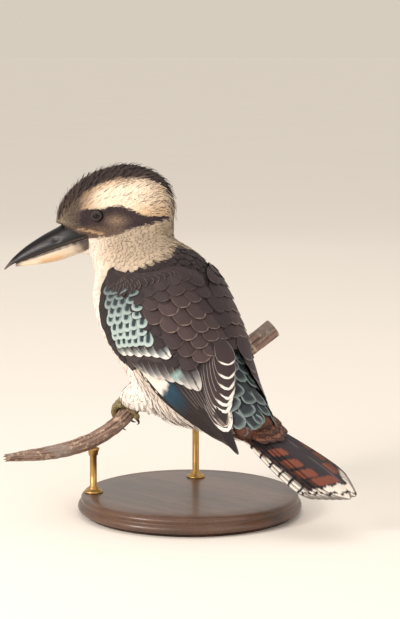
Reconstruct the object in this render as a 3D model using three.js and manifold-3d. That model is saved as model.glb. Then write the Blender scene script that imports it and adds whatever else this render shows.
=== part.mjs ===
// A life-size laughing kookaburra on a cut length of branch, held by a plain display stand.
// Millimetres and degrees, +Z up. The bird's body faces -X, and its left side is -Y.
// The origin is the centre of the underside of the stand's base.
import * as THREE from 'three';
import { mergeVertices } from 'three/addons/utils/BufferGeometryUtils.js';
import Module from 'manifold-3d';

const wasm = await Module();
wasm.setup();

// Driving sizes of the bird. Each row of a table is one section, and the sections are joined by smooth curves.
const GAP = 0.3; // between neighbouring pieces that touch
const FINEST = 0.03; // the smallest detail kept where solids are joined
const RAD = Math.PI / 180;

// The body's axis in the plane y = 0, from inside the neck to the root of the tail: each section's centre, its
// half depth from belly to back, its half width, and how much further the loose feathers of its belly hang.
const BODY = [
  { x: -66, z: 246, depth: 16, width: 18, belly: 0 },
  { x: -59, z: 225, depth: 31, width: 31, belly: 0 },
  { x: -51, z: 203, depth: 53.5, width: 44, belly: 0 },
  { x: -41, z: 181, depth: 61, width: 47, belly: 0 },
  { x: -25, z: 159, depth: 58.5, width: 47.5, belly: 0 },
  { x: -7, z: 138, depth: 52.5, width: 45, belly: 5 },
  { x: 11, z: 120, depth: 46, width: 41, belly: 9 },
  { x: 30, z: 106, depth: 37, width: 36, belly: 0 },
  { x: 49, z: 96, depth: 27, width: 29, belly: 0 },
  { x: 68, z: 86, depth: 18, width: 23, belly: 0 },
  { x: 86, z: 76, depth: 9, width: 17, belly: 0 },
];

// The surface that the folded wings lie on: the body's, but it drops further towards the wings' tips.
const WING_BED = [
  ...BODY.slice(0, 6),
  { x: 10, z: 118, depth: 47, width: 42 },
  { x: 28, z: 101, depth: 38.5, width: 37 },
  { x: 47, z: 86, depth: 28.5, width: 30 },
  { x: 67, z: 72, depth: 20, width: 24.5 },
  { x: 88, z: 59, depth: 13, width: 20 },
];
const BODY_STEPS = BODY.length - 1;
const TORSO_END = 9.9; // the section, counted along BODY, where the torso meets the tail
const TORSO_RINGS = 18;
const TORSO_SIDES = 24;

// The head turns to the bird's left. Its sections run from the bill back to the nape: the distance ahead of the
// eyes, the height of the top and the bottom above the eyes, and the half width.
const HEAD_TURN = 42;
const HEAD_AT = [-87, -24, 254]; // midway between the eyes
const HEAD = [
  { ahead: 34.5, top: -7, bottom: -24, width: 8 },
  { ahead: 32, top: 3, bottom: -30, width: 13 },
  { ahead: 27, top: 13, bottom: -34, width: 16.5 },
  { ahead: 17, top: 24.5, bottom: -37, width: 19.5 },
  { ahead: 5, top: 33, bottom: -38, width: 22 },
  { ahead: -8, top: 38.5, bottom: -40, width: 24.5 },
  { ahead: -22, top: 42, bottom: -43, width: 27 },
  { ahead: -37, top: 41, bottom: -44, width: 29 },
  { ahead: -51, top: 35, bottom: -42, width: 28 },
  { ahead: -61, top: 25, bottom: -34, width: 22 },
  { ahead: -66, top: 12, bottom: -22, width: 12 },
];
const HEAD_RINGS = 16;
const HEAD_SIDES = 22;
const CHIN = { ahead: 6, up: -36 }; // the head's lower border runs from here
const NAPE = { ahead: -66, up: -7 }; // to here

// The neck's level sections: height, centre, half length along the way it faces, half width, and its turn.
const NECK = [
  { z: 244, x: -66, y: -6, length: 31, width: 26, turn: 42 },
  { z: 232, x: -64, y: -5, length: 37, width: 31, turn: 38 },
  { z: 220, x: -59, y: -2, length: 42.5, width: 37, turn: 24 },
  { z: 208, x: -53, y: 0, length: 48, width: 41, turn: 10 },
  { z: 196, x: -48, y: 0, length: 51, width: 43, turn: 0 },
];
const NECK_BASE = { x: -55, z: 213, slope: 0.22 }; // the border of neck and torso, and its rise towards the back

// The bill's sections, ahead of the eyes: the culmen, the line of the mouth, the keel, and the half widths.
const BILL_UPPER = [
  { ahead: 20, top: -6, bottom: -24.6, width: 16.2 },
  { ahead: 34, top: -13.6, bottom: -29.6, width: 13.2 },
  { ahead: 47, top: -20.8, bottom: -34.6, width: 10 },
  { ahead: 61, top: -30.1, bottom: -40.4, width: 6.7 },
  { ahead: 72, top: -39.6, bottom: -45.2, width: 3.8 },
  { ahead: 77.5, top: -45.9, bottom: -49, width: 2 },
  { ahead: 80, top: -49.4, bottom: -50.6, width: 0.7 },
];
const BILL_LOWER = [
  { ahead: 14, top: -22.9, bottom: -36, width: 15.2 },
  { ahead: 22, top: -25.8, bottom: -39, width: 14.4 },
  { ahead: 34, top: -30, bottom: -42.6, width: 12.2 },
  { ahead: 47, top: -35, bottom: -45.2, width: 9 },
  { ahead: 61, top: -40.8, bottom: -46.9, width: 5.6 },
  { ahead: 70, top: -44.7, bottom: -47.6, width: 2.8 },
];
const BILL_RINGS = 11;
const BILL_SIDES = 9; // points over the half section, from one edge of the mouth to the other
const NOSTRIL = { ahead: 35, up: -23.5, side: 9.6, length: 5.2, height: 1.5 };
const GAPE = { ahead: 6, up: -20.8, length: 22, height: 0.9, rise: 26, side: 12, reach: 12 };

// The eyes, sunk in the head, with the lids as a ring round each.
const EYE = { radius: 6, ahead: -2, side: 19.6, up: -1.5 };
const LID = { radius: 5.2, thickness: 1.15, side: 22.9 };

// The crown's feathers, row after row from the forehead to the nape.
const CREST = {
  rows: 6, first: 0.2, last: 0.82, across: 54, spacing: 19, shortest: 15, longest: 26, width: 10, thickness: 2.2,
};

// The folded wing lies on that surface. Its borders are angles round it from the middle of the back, at places
// counted along its sections: the leading edge below, and the inner edge above.
const WING = {
  start: 2.3, end: 9.5,
  leading: [98, 111, 116, 115, 112, 107, 102, 101, 105, 112],
  inner: [72, 34, 18, 11, 7, 9, 19, 32, 50, 80],
  thickness: [2, 4.4, 5.2, 5.2, 5, 4.6, 4, 3.2, 2.4, 1.4],
};
const WING_CORE_END = 0.56; // the share of the wing's length that the core fills
const CORE_STEPS = 7;
const CORE_ACROSS = 6;

// The tiers of a wing's feathers. Each runs from its first to its last feather: where the roots and the tips
// lie, as shares of the wing's length (along) and breadth (across). The lifts over the wing's bed are the first
// feather's at its root and its tip, and each next feather stands higher by the steps.
const TIERS = {
  primaries: {
    count: 5, width: 13, thickness: 0.8, lift: [0.2, 0], step: [0.5, 0.95], tilt: 0.8, tip: 0.45,
    root: [[0.46, 0.06], [0.5, 0.34]], end: [[0.9, 0.05], [1.0, 0.6]],
  },
  secondaries: {
    count: 5, width: 15, thickness: 0.8, lift: [2, 2.6], step: [0.45, 0.95], tilt: 1, tip: 0.7,
    root: [[0.4, 0.2], [0.46, 0.62]], end: [[0.72, 0.24], [0.82, 0.66]],
  },
  tertials: {
    count: 4, width: 21, thickness: 0.9, lift: [3.4, 4.6], step: [0.5, 1], tilt: 1.2, tip: 0.85,
    root: [[0.42, 0.6], [0.4, 0.86]], end: [[0.86, 0.72], [0.72, 0.93]],
  },
  greater_coverts: {
    count: 5, width: 16, thickness: 2.4, lift: [2.2, 5.6], step: [0.1, 0.15], tilt: 1, tip: 0.85,
    root: [[0.24, 0.1], [0.24, 0.62]], end: [[0.44, 0.1], [0.5, 0.62]],
  },
  median_coverts: {
    count: 4, width: 17, thickness: 2.4, lift: [2.2, 6], step: [0.1, 0.1], tilt: 1, tip: 0.9,
    root: [[0.13, 0.14], [0.12, 0.58]], end: [[0.3, 0.1], [0.33, 0.58]],
  },
  scapulars: {
    count: 4, width: 24, thickness: 2.8, lift: [2, 6.4], step: [0.1, 0.3], tilt: 1.4, tip: 0.85,
    root: [[0.14, 0.66], [0.3, 0.9]], end: [[0.4, 0.7], [0.62, 0.9]],
  },
};

// The tail, closed, seen from its root: where it starts, the way it points, and how far it is twisted.
const TAIL = {
  root: [40, -1, 104], turn: 9, drop: 29.5, twist: 11, length: 142, pairs: 6, shorten: 3.8, spread: 1.15,
  offset: 1.5, under: 1.35, width: 24, narrow: 0.7, thickness: 0.85, camber: 0.006,
};
const TAIL_COVERTS = {
  above: { count: 3, length: 66, width: 20, spacing: 7, height: 3.8, fall: 1.2, thickness: 1.6 },
  below: { count: 3, length: 92, width: 18, spacing: 6.5, height: -10.4, fall: -1.2, thickness: 1.6 },
};
const TAIL_ROOT = [ // the flesh that the tail's feathers grow from, as shares of its length, and half sizes
  { far: 0.18, side: 14, out: 8.5 },
  { far: 0.36, side: 14, out: 7 },
  { far: 0.5, side: 11.5, out: 4.6 },
  { far: 0.58, side: 6.5, out: 2.2 },
];

// The branch, from its broken end on the left to its cut end on the right: its axis and its radius.
const BRANCH = [
  { x: -88.5, y: -127, z: 54.3, radius: 3.2 },
  { x: -84.5, y: -113, z: 54, radius: 4.7 },
  { x: -78, y: -96.5, z: 54, radius: 5.5 },
  { x: -70, y: -77, z: 56, radius: 6.2 },
  { x: -62, y: -55, z: 61.5, radius: 6.6 },
  { x: -54, y: -33, z: 74, radius: 6.9 },
  { x: -52.5, y: -12, z: 88.5, radius: 7 },
  { x: -52, y: 10, z: 92, radius: 7.2 },
  { x: -45, y: 33, z: 98, radius: 7.5 },
  { x: -29, y: 58, z: 109, radius: 7.8 },
  { x: -14, y: 84, z: 126, radius: 8.1 },
  { x: 0, y: 110, z: 146, radius: 8.3 },
];
const BRANCH_RINGS = 26;
const BRANCH_SIDES = 10;
const KNOT = { place: 0.33, reach: 0.02, height: 1.4, turn: 2.4 };

// The legs: where each foot holds the branch, counted along it, and where its thigh leaves the body.
const LEGS = {
  left: { side: -1, hold: 0.505, hip: [-24, -20, 103] },
  right: { side: 1, hold: 0.69, hip: [-27, 27, 119] },
};
const THIGH = { radius: 16, ankle: 6.4 };
const TARSUS = { radius: 3.3, rise: 10 };
const LEG_SIDES = 10;
const PAD = { height: 3.2, fore: 5.2, rear: 4.6 }; // the sole: its height over the bark, and its radii
const TOE = { radius: 3.4, tip: 2.4, clearance: 0.9, knuckle: 0.35, drop: 0.7, claw: 1.6, point: 0.25, hook: 2.6 };
const TOES = [
  { name: 'inner', start: 10, end: -112, along: 6.2, lean: 3 },
  { name: 'middle', start: 12, end: -150, along: 0, lean: 0.5 },
  { name: 'outer', start: 12, end: -135, along: -6.4, lean: -2.5 },
  { name: 'hind', start: 8, end: 118, along: -0.5, lean: -1.5 },
];

// The stand: a round base, and two rods up to the branch, each placed by its share of the branch's length.
const BASE = { radius: 96, height: 16, edge: 3, foot: 90, step: 2.5, bead: 0.9 };
const RODS = { left: 0.364, right: 0.78 };
const ROD_RADIUS = 3;

const point = (x, y, z) => new THREE.Vector3(x, y, z);
const UP = point(0, 0, 1);
const mix = (a, b, share) => a + (b - a) * share;

/** The value at a share of the way along a smooth curve through evenly spaced values. */
function smooth(values, share) {
  const last = values.length - 1;
  const at = share * last;
  const i = Math.max(0, Math.min(Math.floor(at), last - 1));
  const f = at - i;
  const value = (k) => {
    if (k < 0) return 2 * values[0] - values[1];
    if (k > last) return 2 * values[last] - values[last - 1];
    return values[k];
  };
  const [a, b, c, d] = [value(i - 1), value(i), value(i + 1), value(i + 2)];
  return b + 0.5 * f * (c - a + f * (2 * a - 5 * b + 4 * c - d + f * (3 * (b - c) + d - a)));
}

/** One named column of a table of sections, at a share of the way along it. */
const along = (rows, name, share) => smooth(rows.map((row) => row[name]), share);

/** A closed surface from vertices and triangles, as a solid that faces outwards. */
function solidOf(geometry) {
  const plain = geometry.clone();
  for (const name of Object.keys(plain.attributes)) {
    if (name !== 'position') plain.deleteAttribute(name);
  }
  const merged = mergeVertices(plain, 1e-4);
  const triVerts = new Uint32Array(merged.index.array);
  const made = new wasm.Manifold(
    new wasm.Mesh({ numProp: 3, vertProperties: new Float32Array(merged.attributes.position.array), triVerts }),
  );
  if (made.volume() > 0) return made;
  for (let i = 0; i < triVerts.length; i += 3) {
    [triVerts[i + 1], triVerts[i + 2]] = [triVerts[i + 2], triVerts[i + 1]];
  }
  return new wasm.Manifold(
    new wasm.Mesh({ numProp: 3, vertProperties: new Float32Array(merged.attributes.position.array), triVerts }),
  );
}

/** A solid whose skin joins rings of points, one ring after the other, and is closed at both ends. */
function loft(rings) {
  const sides = rings[0].length;
  const places = rings.flat();
  const centre = (ring) => ring.reduce((sum, p) => sum.add(p), point(0, 0, 0)).divideScalar(sides);
  places.push(centre(rings[0]), centre(rings.at(-1)));
  const index = [];
  rings.slice(1).forEach((_, r) => {
    for (let k = 0; k < sides; k += 1) {
      const [a, b] = [r * sides + k, r * sides + ((k + 1) % sides)];
      index.push(a, b, a + sides, b, b + sides, a + sides);
    }
  });
  const lastRing = (rings.length - 1) * sides;
  for (let k = 0; k < sides; k += 1) {
    const next = (k + 1) % sides;
    index.push(places.length - 2, next, k, places.length - 1, lastRing + k, lastRing + next);
  }
  const geometry = new THREE.BufferGeometry().setFromPoints(places);
  geometry.setIndex(index);
  return solidOf(geometry);
}

/** The largest closed body of a solid, without details finer than a few hundredths of a millimetre. */
function largest(solid) {
  return solid.simplify(FINEST).decompose().sort((a, b) => b.volume() - a.volume())[0];
}

/** Joins solids into one, and keeps its largest closed body. */
function joined(solids) {
  return largest(wasm.Manifold.union(solids));
}

/** Points evenly round an ellipse, from its centre and its two half axes as vectors. */
function ellipse(centre, a, b, sides) {
  return Array.from({ length: sides }, (_, k) => {
    const turn = (2 * Math.PI * k) / sides;
    return centre.clone().addScaledVector(a, Math.cos(turn)).addScaledVector(b, Math.sin(turn));
  });
}

/** A section at a place counted along a table: its centre, the way to the back, and its half sizes. */
function bodySection(rows, place) {
  const share = place / BODY_STEPS;
  const step = 0.5 / BODY_STEPS;
  const run = (name) => along(rows, name, share + step) - along(rows, name, share - step);
  return {
    centre: point(along(rows, 'x', share), 0, along(rows, 'z', share)),
    back: point(-run('z'), 0, run('x')).normalize(),
    depth: along(rows, 'depth', share),
    width: along(rows, 'width', share),
  };
}

/** The body from neck to tail as one smooth solid, grown outwards by a margin. */
function bodySolid(grow = 0) {
  const rings = Array.from({ length: TORSO_RINGS }, (_, r) => {
    const place = (TORSO_END * r) / (TORSO_RINGS - 1);
    const section = bodySection(BODY, place);
    const belly = along(BODY, 'belly', place / BODY_STEPS);
    return Array.from({ length: TORSO_SIDES }, (_side, k) => {
      const turn = (2 * Math.PI * k) / TORSO_SIDES;
      const back = Math.cos(turn) * (section.depth + grow + (Math.cos(turn) < 0 ? belly : 0));
      return section.centre.clone()
        .addScaledVector(section.back, back)
        .add(point(0, Math.sin(turn) * (section.width + grow), 0));
    });
  });
  return loft(rings);
}

// The head's own directions: ahead along the bill, to its left, and up.
const headTurn = HEAD_TURN * RAD;
const AHEAD = point(-Math.cos(headTurn), -Math.sin(headTurn), 0);
const LEFT = point(Math.sin(headTurn), -Math.cos(headTurn), 0);
const EYES = point(...HEAD_AT);

/** A point given by its distances ahead of, to the left of and above the middle of the eyes. */
const headPlace = (ahead, left, up) =>
  EYES.clone().addScaledVector(AHEAD, ahead).addScaledVector(LEFT, left).addScaledVector(UP, up);

/** A point over the head: its share of the way from forehead to nape, its angle from the crown, and its height. */
function headPoint(share, angle, lift) {
  const [top, bottom] = [along(HEAD, 'top', share), along(HEAD, 'bottom', share)];
  const turn = angle * RAD;
  return headPlace(
    along(HEAD, 'ahead', share),
    Math.sin(turn) * (along(HEAD, 'width', share) + lift),
    (top + bottom) / 2 + Math.cos(turn) * ((top - bottom) / 2 + lift),
  );
}

/** The head without its feathers' tips, its bill and its eyes. */
function skull() {
  const rings = Array.from({ length: HEAD_RINGS }, (_, r) =>
    Array.from({ length: HEAD_SIDES }, (_side, k) => headPoint(r / (HEAD_RINGS - 1), (360 * k) / HEAD_SIDES, 0)),
  );
  return loft(rings);
}

/** The neck, which turns from the body's way to the head's. */
function neckSolid() {
  const steps = 2 * NECK.length;
  const rings = Array.from({ length: steps + 1 }, (_, r) => {
    const share = r / steps;
    const turn = along(NECK, 'turn', share) * RAD;
    return ellipse(
      point(along(NECK, 'x', share), along(NECK, 'y', share), along(NECK, 'z', share)),
      point(-Math.cos(turn), -Math.sin(turn), 0).multiplyScalar(along(NECK, 'length', share)),
      point(-Math.sin(turn), Math.cos(turn), 0).multiplyScalar(along(NECK, 'width', share)),
      HEAD_SIDES,
    );
  });
  return loft(rings);
}

/** Splits a solid by a plane with a gap, and gives the side that the plane faces and the other side. */
function parted(solid, through, facing) {
  const normal = facing.clone().normalize();
  const offset = normal.dot(through);
  return [
    largest(solid.trimByPlane(normal.toArray(), offset + GAP / 2)),
    largest(solid.trimByPlane(normal.clone().negate().toArray(), -offset + GAP / 2)),
  ];
}

/** One half of the bill, as a ridge over or a keel under the line of the mouth. */
function billHalf(rows, ridge, grow = 0) {
  const rings = Array.from({ length: BILL_RINGS }, (_, r) => {
    const share = r / (BILL_RINGS - 1);
    const size = ['ahead', 'top', 'bottom', 'width'].map((name) => along(rows, name, share));
    const [ahead, top, bottom, width] = size;
    const [edge, crest] = ridge ? [bottom - grow, top + grow] : [top + grow, bottom - grow];
    return Array.from({ length: BILL_SIDES }, (_side, k) => {
      const turn = (Math.PI * k) / (BILL_SIDES - 1);
      const fullness = Math.sin(turn) ** 0.8; // a little boxier than an ellipse
      const left = Math.cos(turn) * (width + grow);
      return headPlace(ahead + (grow && r === 0 ? -grow : 0), left, edge + (crest - edge) * fullness);
    });
  });
  return loft(rings);
}

/** A ball of a given size at a place, stretched along the head's three directions. */
function headBall(centre, sizes, segments = 14) {
  const ball = new THREE.SphereGeometry(1, segments, Math.round(segments * 0.6));
  const turned = new THREE.Matrix4().makeBasis(
    AHEAD.clone().multiplyScalar(sizes[0]),
    LEFT.clone().multiplyScalar(sizes[1]),
    UP.clone().multiplyScalar(sizes[2]),
  );
  return solidOf(ball.applyMatrix4(turned.setPosition(centre)));
}

/** One eyeball, grown outwards by a margin. */
function eyeSolid(side, grow = 0) {
  return headBall(headPlace(EYE.ahead, side * EYE.side, EYE.up), Array(3).fill(EYE.radius + grow));
}

/** The ring of the lids round one eye. */
function lidRing(side) {
  const ring = new THREE.TorusGeometry(LID.radius, LID.thickness, 6, 14);
  const turned = new THREE.Matrix4().makeBasis(AHEAD, UP, LEFT.clone().negate());
  return solidOf(ring.applyMatrix4(turned.setPosition(headPlace(EYE.ahead, side * LID.side, EYE.up))));
}

/** The slit that carries the line of the mouth back into the face on one side. */
function gapeSlit(side) {
  const slit = new THREE.BoxGeometry(GAPE.length, GAPE.reach, GAPE.height);
  const tilt = GAPE.rise * RAD;
  const lengthwise = AHEAD.clone().multiplyScalar(Math.cos(tilt)).addScaledVector(UP, -Math.sin(tilt));
  const upwards = UP.clone().multiplyScalar(Math.cos(tilt)).addScaledVector(AHEAD, Math.sin(tilt));
  const turned = new THREE.Matrix4().makeBasis(lengthwise, LEFT, upwards);
  const centre = headPlace(GAPE.ahead, side * (GAPE.side + GAPE.reach / 2), GAPE.up);
  return solidOf(slit.applyMatrix4(turned.setPosition(centre)));
}

/**
 * A thin closed vane along a path. Each step of the path gives a point, the way out of the surface, the vane's
 * width there and its tilt, which raises one edge and lowers the other.
 */
function vane(steps, thickness, camber = 0) {
  const rings = steps.map((step, i) => {
    const before = steps[Math.max(0, i - 1)].at;
    const after = steps[Math.min(steps.length - 1, i + 1)].at;
    const way = after.clone().sub(before).normalize();
    const across = new THREE.Vector3().crossVectors(step.out, way).normalize();
    const out = new THREE.Vector3().crossVectors(way, across).normalize();
    const half = step.width / 2;
    const edge = (sign, layer) =>
      step.at
        .clone()
        .addScaledVector(across, sign * half)
        .addScaledVector(out, sign * step.tilt - camber * half * half + (layer * thickness) / 2);
    const middle = (layer) => step.at.clone().addScaledVector(out, (layer * thickness) / 2);
    return [edge(1, 1), middle(1), edge(-1, 1), edge(-1, -1), middle(-1), edge(1, -1)];
  });
  return loft(rings);
}

/** One feather of the crown, which lies back over the head and lifts its tip. */
function crestFeather(share, angle, length) {
  const root = headPoint(share, angle, -1.2);
  const onward = headPoint(share + 0.05, angle, -1.2).sub(root).normalize();
  const out = headPoint(share, angle, 1).sub(root).normalize();
  const parts = [
    { far: -0.1, lift: -1.2, width: 0.6 },
    { far: 0.25, lift: 1.4, width: 1 },
    { far: 0.65, lift: 2.3, width: 0.85 },
    { far: 1, lift: 2.2, width: 0.12 },
  ];
  const bend = length * length * 0.0035; // the feather follows the head's curve
  const steps = parts.map(({ far, lift, width }) => ({
    at: root.clone().addScaledVector(onward, far * length).addScaledVector(out, lift - bend * far * far),
    out,
    width: width * CREST.width,
    tilt: 0,
  }));
  return vane(steps, CREST.thickness, 0.05);
}

/** All the crown's feathers. */
function crest() {
  const made = [];
  for (let row = 0; row < CREST.rows; row += 1) {
    const back = row / (CREST.rows - 1);
    const share = mix(CREST.first, CREST.last, back);
    const reach = CREST.across * (0.45 + 0.55 * Math.sin(Math.PI * Math.min(1, 0.35 + 0.6 * back)));
    const radius = along(HEAD, 'width', share);
    const count = Math.max(2, Math.round((2 * reach * RAD * radius) / CREST.spacing));
    for (let k = 0; k <= count; k += 1) {
      const place = (k + (row % 2 ? 0.5 : 0)) / count;
      if (place > 1) continue;
      const wave = 1 + 0.12 * Math.sin(5 * k + 3 * row); // no two feathers are quite alike
      made.push(crestFeather(share, mix(-reach, reach, place), mix(CREST.shortest, CREST.longest, back) * wave));
    }
  }
  return made;
}

/** The head with its crown, lids, mouth and nostrils, cut clear of the bill and the eyes. */
function headSolid(core) {
  return largest(
    joined([core, ...crest(), lidRing(-1), lidRing(1)])
      .subtract(billHalf(BILL_UPPER, true, GAP))
      .subtract(billHalf(BILL_LOWER, false, GAP))
      .subtract(wasm.Manifold.union([-1, 1].flatMap((side) => [eyeSolid(side, GAP), gapeSlit(side)]))),
  );
}

/** The upper half of the bill with its nostrils. */
function billUpper() {
  const size = [NOSTRIL.length / 2, 1.4, NOSTRIL.height / 2];
  const nostrils = [-1, 1].map((side) =>
    headBall(headPlace(NOSTRIL.ahead, side * NOSTRIL.side, NOSTRIL.up), size, 10));
  return largest(billHalf(BILL_UPPER, true).subtract(wasm.Manifold.union(nostrils)));
}

/** A point over one folded wing, by its shares of the wing's length and breadth and its height over the bed. */
function wingPoint(side, lengthwise, across, lift) {
  const section = bodySection(WING_BED, mix(WING.start, WING.end, lengthwise));
  const turn = mix(smooth(WING.leading, lengthwise), smooth(WING.inner, lengthwise), across) * RAD;
  return section.centre
    .clone()
    .addScaledVector(section.back, Math.cos(turn) * (section.depth + lift))
    .add(point(0, side * Math.sin(turn) * (section.width + lift), 0));
}

/** The way out of one wing's surface at a place on it. */
function wingOut(side, lengthwise, across) {
  return wingPoint(side, lengthwise, across, 1).sub(wingPoint(side, lengthwise, across, 0)).normalize();
}

/** The body of a folded wing, thickest in the middle, that the feathers grow from. */
function wingCore(side) {
  const rings = Array.from({ length: CORE_STEPS + 1 }, (_, r) => {
    const lengthwise = (WING_CORE_END * r) / CORE_STEPS;
    const thick = smooth(WING.thickness, lengthwise);
    const outer = Array.from({ length: CORE_ACROSS }, (_c, k) => {
      const across = k / (CORE_ACROSS - 1);
      return wingPoint(side, lengthwise, across, thick * Math.sin(Math.PI * mix(0.14, 0.86, across)) ** 0.6);
    });
    const inner = Array.from({ length: CORE_ACROSS }, (_c, k) =>
      wingPoint(side, lengthwise, 1 - k / (CORE_ACROSS - 1), -1.5));
    return [...outer, ...inner];
  });
  return loft(rings);
}

/** One feather of a wing's tier, numbered from the leading edge inwards. */
function wingFeather(side, tier, number) {
  const share = tier.count > 1 ? number / (tier.count - 1) : 0;
  const root = [mix(tier.root[0][0], tier.root[1][0], share), mix(tier.root[0][1], tier.root[1][1], share)];
  const end = [mix(tier.end[0][0], tier.end[1][0], share), mix(tier.end[0][1], tier.end[1][1], share)];
  const parts = [
    { far: 0, width: 0.7 },
    { far: 0.45, width: 1 },
    { far: 0.86, width: 0.6 + 0.4 * tier.tip },
    { far: 1, width: 0.5 * tier.tip },
  ];
  const steps = parts.map(({ far, width }) => {
    const place = [mix(root[0], end[0], far), mix(root[1], end[1], far)];
    const lift = mix(tier.lift[0] + tier.step[0] * number, tier.lift[1] + tier.step[1] * number, far);
    return {
      at: wingPoint(side, ...place, lift),
      out: wingOut(side, ...place),
      width: width * tier.width,
      tilt: side * tier.tilt * Math.min(1, 0.4 + far),
    };
  });
  return vane(steps, tier.thickness, 0.009);
}

/** A folded wing: its core and all its tiers of feathers, cut clear of its neighbours. */
function wingSolid(side, neighbours) {
  const feathers = Object.values(TIERS).flatMap((tier) =>
    Array.from({ length: tier.count }, (_, number) => wingFeather(side, tier, number)));
  return largest(joined([wingCore(side), ...feathers]).subtract(neighbours));
}

/** The tail's own directions, after its turn, its drop and its twist. */
function tailFrame() {
  const [turn, drop, twist] = [TAIL.turn, TAIL.drop, TAIL.twist].map((angle) => angle * RAD);
  const way = point(Math.cos(drop) * Math.cos(turn), Math.cos(drop) * Math.sin(turn), -Math.sin(drop));
  const side = point(-Math.sin(turn), Math.cos(turn), 0);
  const out = new THREE.Vector3().crossVectors(way, side);
  side.applyAxisAngle(way, twist);
  out.applyAxisAngle(way, twist);
  return { root: point(...TAIL.root), way, side, out };
}

/** One long, flat feather of the tail or its coverts. */
function tailFeather({ frame, swing, offset, lift, length, width, thickness, from, blunt }) {
  const angle = swing * RAD;
  const way = frame.way.clone().multiplyScalar(Math.cos(angle)).addScaledVector(frame.side, Math.sin(angle));
  const parts = [
    { far: from, width: 0.55 },
    { far: 0.75, width: 1 },
    { far: 0.95, width: mix(0.7, 0.9, blunt) },
    { far: 1, width: mix(0.2, 0.5, blunt) },
  ];
  const steps = parts.map((part) => ({
    at: frame.root
      .clone()
      .addScaledVector(frame.side, offset)
      .addScaledVector(frame.out, lift)
      .addScaledVector(way, part.far * length),
    out: frame.out,
    width: part.width * width,
    tilt: 0,
  }));
  return vane(steps, thickness, TAIL.camber);
}

/** The tail's long feathers, in pairs in a low stack, grown outwards by a margin. */
function tailFeathers(grow = 0) {
  const frame = tailFrame();
  return Array.from({ length: TAIL.pairs }, (_, pair) => pair).flatMap((pair) =>
    [-1, 1].map((side) => tailFeather({
      frame,
      swing: side * (0.6 + TAIL.spread * pair),
      offset: side * (2.5 + TAIL.offset * pair),
      lift: -TAIL.under * (pair + (side > 0 ? 0.5 : 0)),
      length: TAIL.length - TAIL.shorten * pair,
      width: TAIL.width - TAIL.narrow * pair + 2 * grow,
      thickness: TAIL.thickness + 2 * grow,
      from: 0.12,
      blunt: 0.7,
    })));
}

/** The tail: its long feathers, the coverts over and under their roots, and the flesh they grow from. */
function tailSolid(body) {
  const frame = tailFrame();
  const made = tailFeathers();
  for (const tier of Object.values(TAIL_COVERTS)) {
    for (let number = 0; number < tier.count; number += 1) {
      const off = number - (tier.count - 1) / 2;
      made.push(tailFeather({
        frame,
        swing: 1.5 * off,
        offset: tier.spacing * off,
        lift: tier.height - tier.fall * Math.abs(off),
        length: tier.length - 5 * Math.abs(off),
        width: tier.width,
        thickness: tier.thickness,
        from: 0.3,
        blunt: 0.8,
      }));
    }
  }
  const rootRings = TAIL_ROOT.map(({ far, side, out }) =>
    ellipse(
      frame.root.clone().addScaledVector(frame.way, far * TAIL.length).addScaledVector(frame.out, -2.6),
      frame.side.clone().multiplyScalar(side),
      frame.out.clone().multiplyScalar(out),
      14,
    ));
  return largest(joined([...made, loft(rootRings)]).subtract(body));
}

/** The branch's axis point, radius and way at a share of its length. */
function branchSection(share) {
  const at = (s) => point(along(BRANCH, 'x', s), along(BRANCH, 'y', s), along(BRANCH, 'z', s));
  const way = at(Math.min(1, share + 0.02)).sub(at(Math.max(0, share - 0.02))).normalize();
  return { centre: at(share), way, radius: along(BRANCH, 'radius', share) };
}

/** The branch, with low ridges along its bark and a knot, grown outwards by a margin. */
function branchSolid(grow = 0) {
  const rings = Array.from({ length: BRANCH_RINGS }, (_, r) => {
    const share = r / (BRANCH_RINGS - 1);
    const section = branchSection(share);
    const across = new THREE.Vector3().crossVectors(section.way, UP).normalize();
    const above = new THREE.Vector3().crossVectors(across, section.way);
    return Array.from({ length: BRANCH_SIDES }, (_side, k) => {
      const turn = (2 * Math.PI * k) / BRANCH_SIDES;
      const near = Math.exp(-(((share - KNOT.place) / KNOT.reach) ** 2));
      const knot = KNOT.height * near * Math.max(0, Math.cos(turn - KNOT.turn));
      const ridge = 0.28 * Math.sin(3 * turn + 9 * share) + 0.22 * Math.sin(17 * share + 2 * turn);
      const radius = section.radius + ridge + knot + grow;
      return section.centre
        .clone()
        .addScaledVector(across, radius * Math.cos(turn))
        .addScaledVector(above, radius * Math.sin(turn));
    });
  });
  return loft(rings);
}

/** A round tube along points with a radius at each. */
function tube(points, radii, sides) {
  const rings = points.map((at, i) => {
    const way = points[Math.min(points.length - 1, i + 1)].clone().sub(points[Math.max(0, i - 1)]).normalize();
    const guide = Math.abs(way.z) > 0.9 ? point(1, 0, 0) : UP;
    const a = new THREE.Vector3().crossVectors(way, guide).normalize();
    const b = new THREE.Vector3().crossVectors(way, a).normalize();
    return ellipse(at, a.multiplyScalar(radii[i]), b.multiplyScalar(radii[i]), sides);
  });
  return loft(rings);
}

/** A point part of the way from one point to another. */
const mixPoint = (a, b, share) => a.clone().lerp(b, share);

/** The directions at one foot: along the branch towards the bird's right, forwards over it, and away from it. */
function footFrame(leg) {
  const section = branchSection(leg.hold);
  const forwards = new THREE.Vector3().crossVectors(UP, section.way).normalize();
  const away = new THREE.Vector3().crossVectors(section.way, forwards).normalize();
  return { ...section, forwards, away };
}

/** A point on a ring round the branch: its angle back from the top, its place along the branch, and its height. */
function gripPoint(frame, angle, alongBranch, height) {
  const turn = angle * RAD;
  return frame.centre
    .clone()
    .addScaledVector(frame.way, alongBranch)
    .addScaledVector(frame.away, Math.cos(turn) * height)
    .addScaledVector(frame.forwards, -Math.sin(turn) * height);
}

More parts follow.
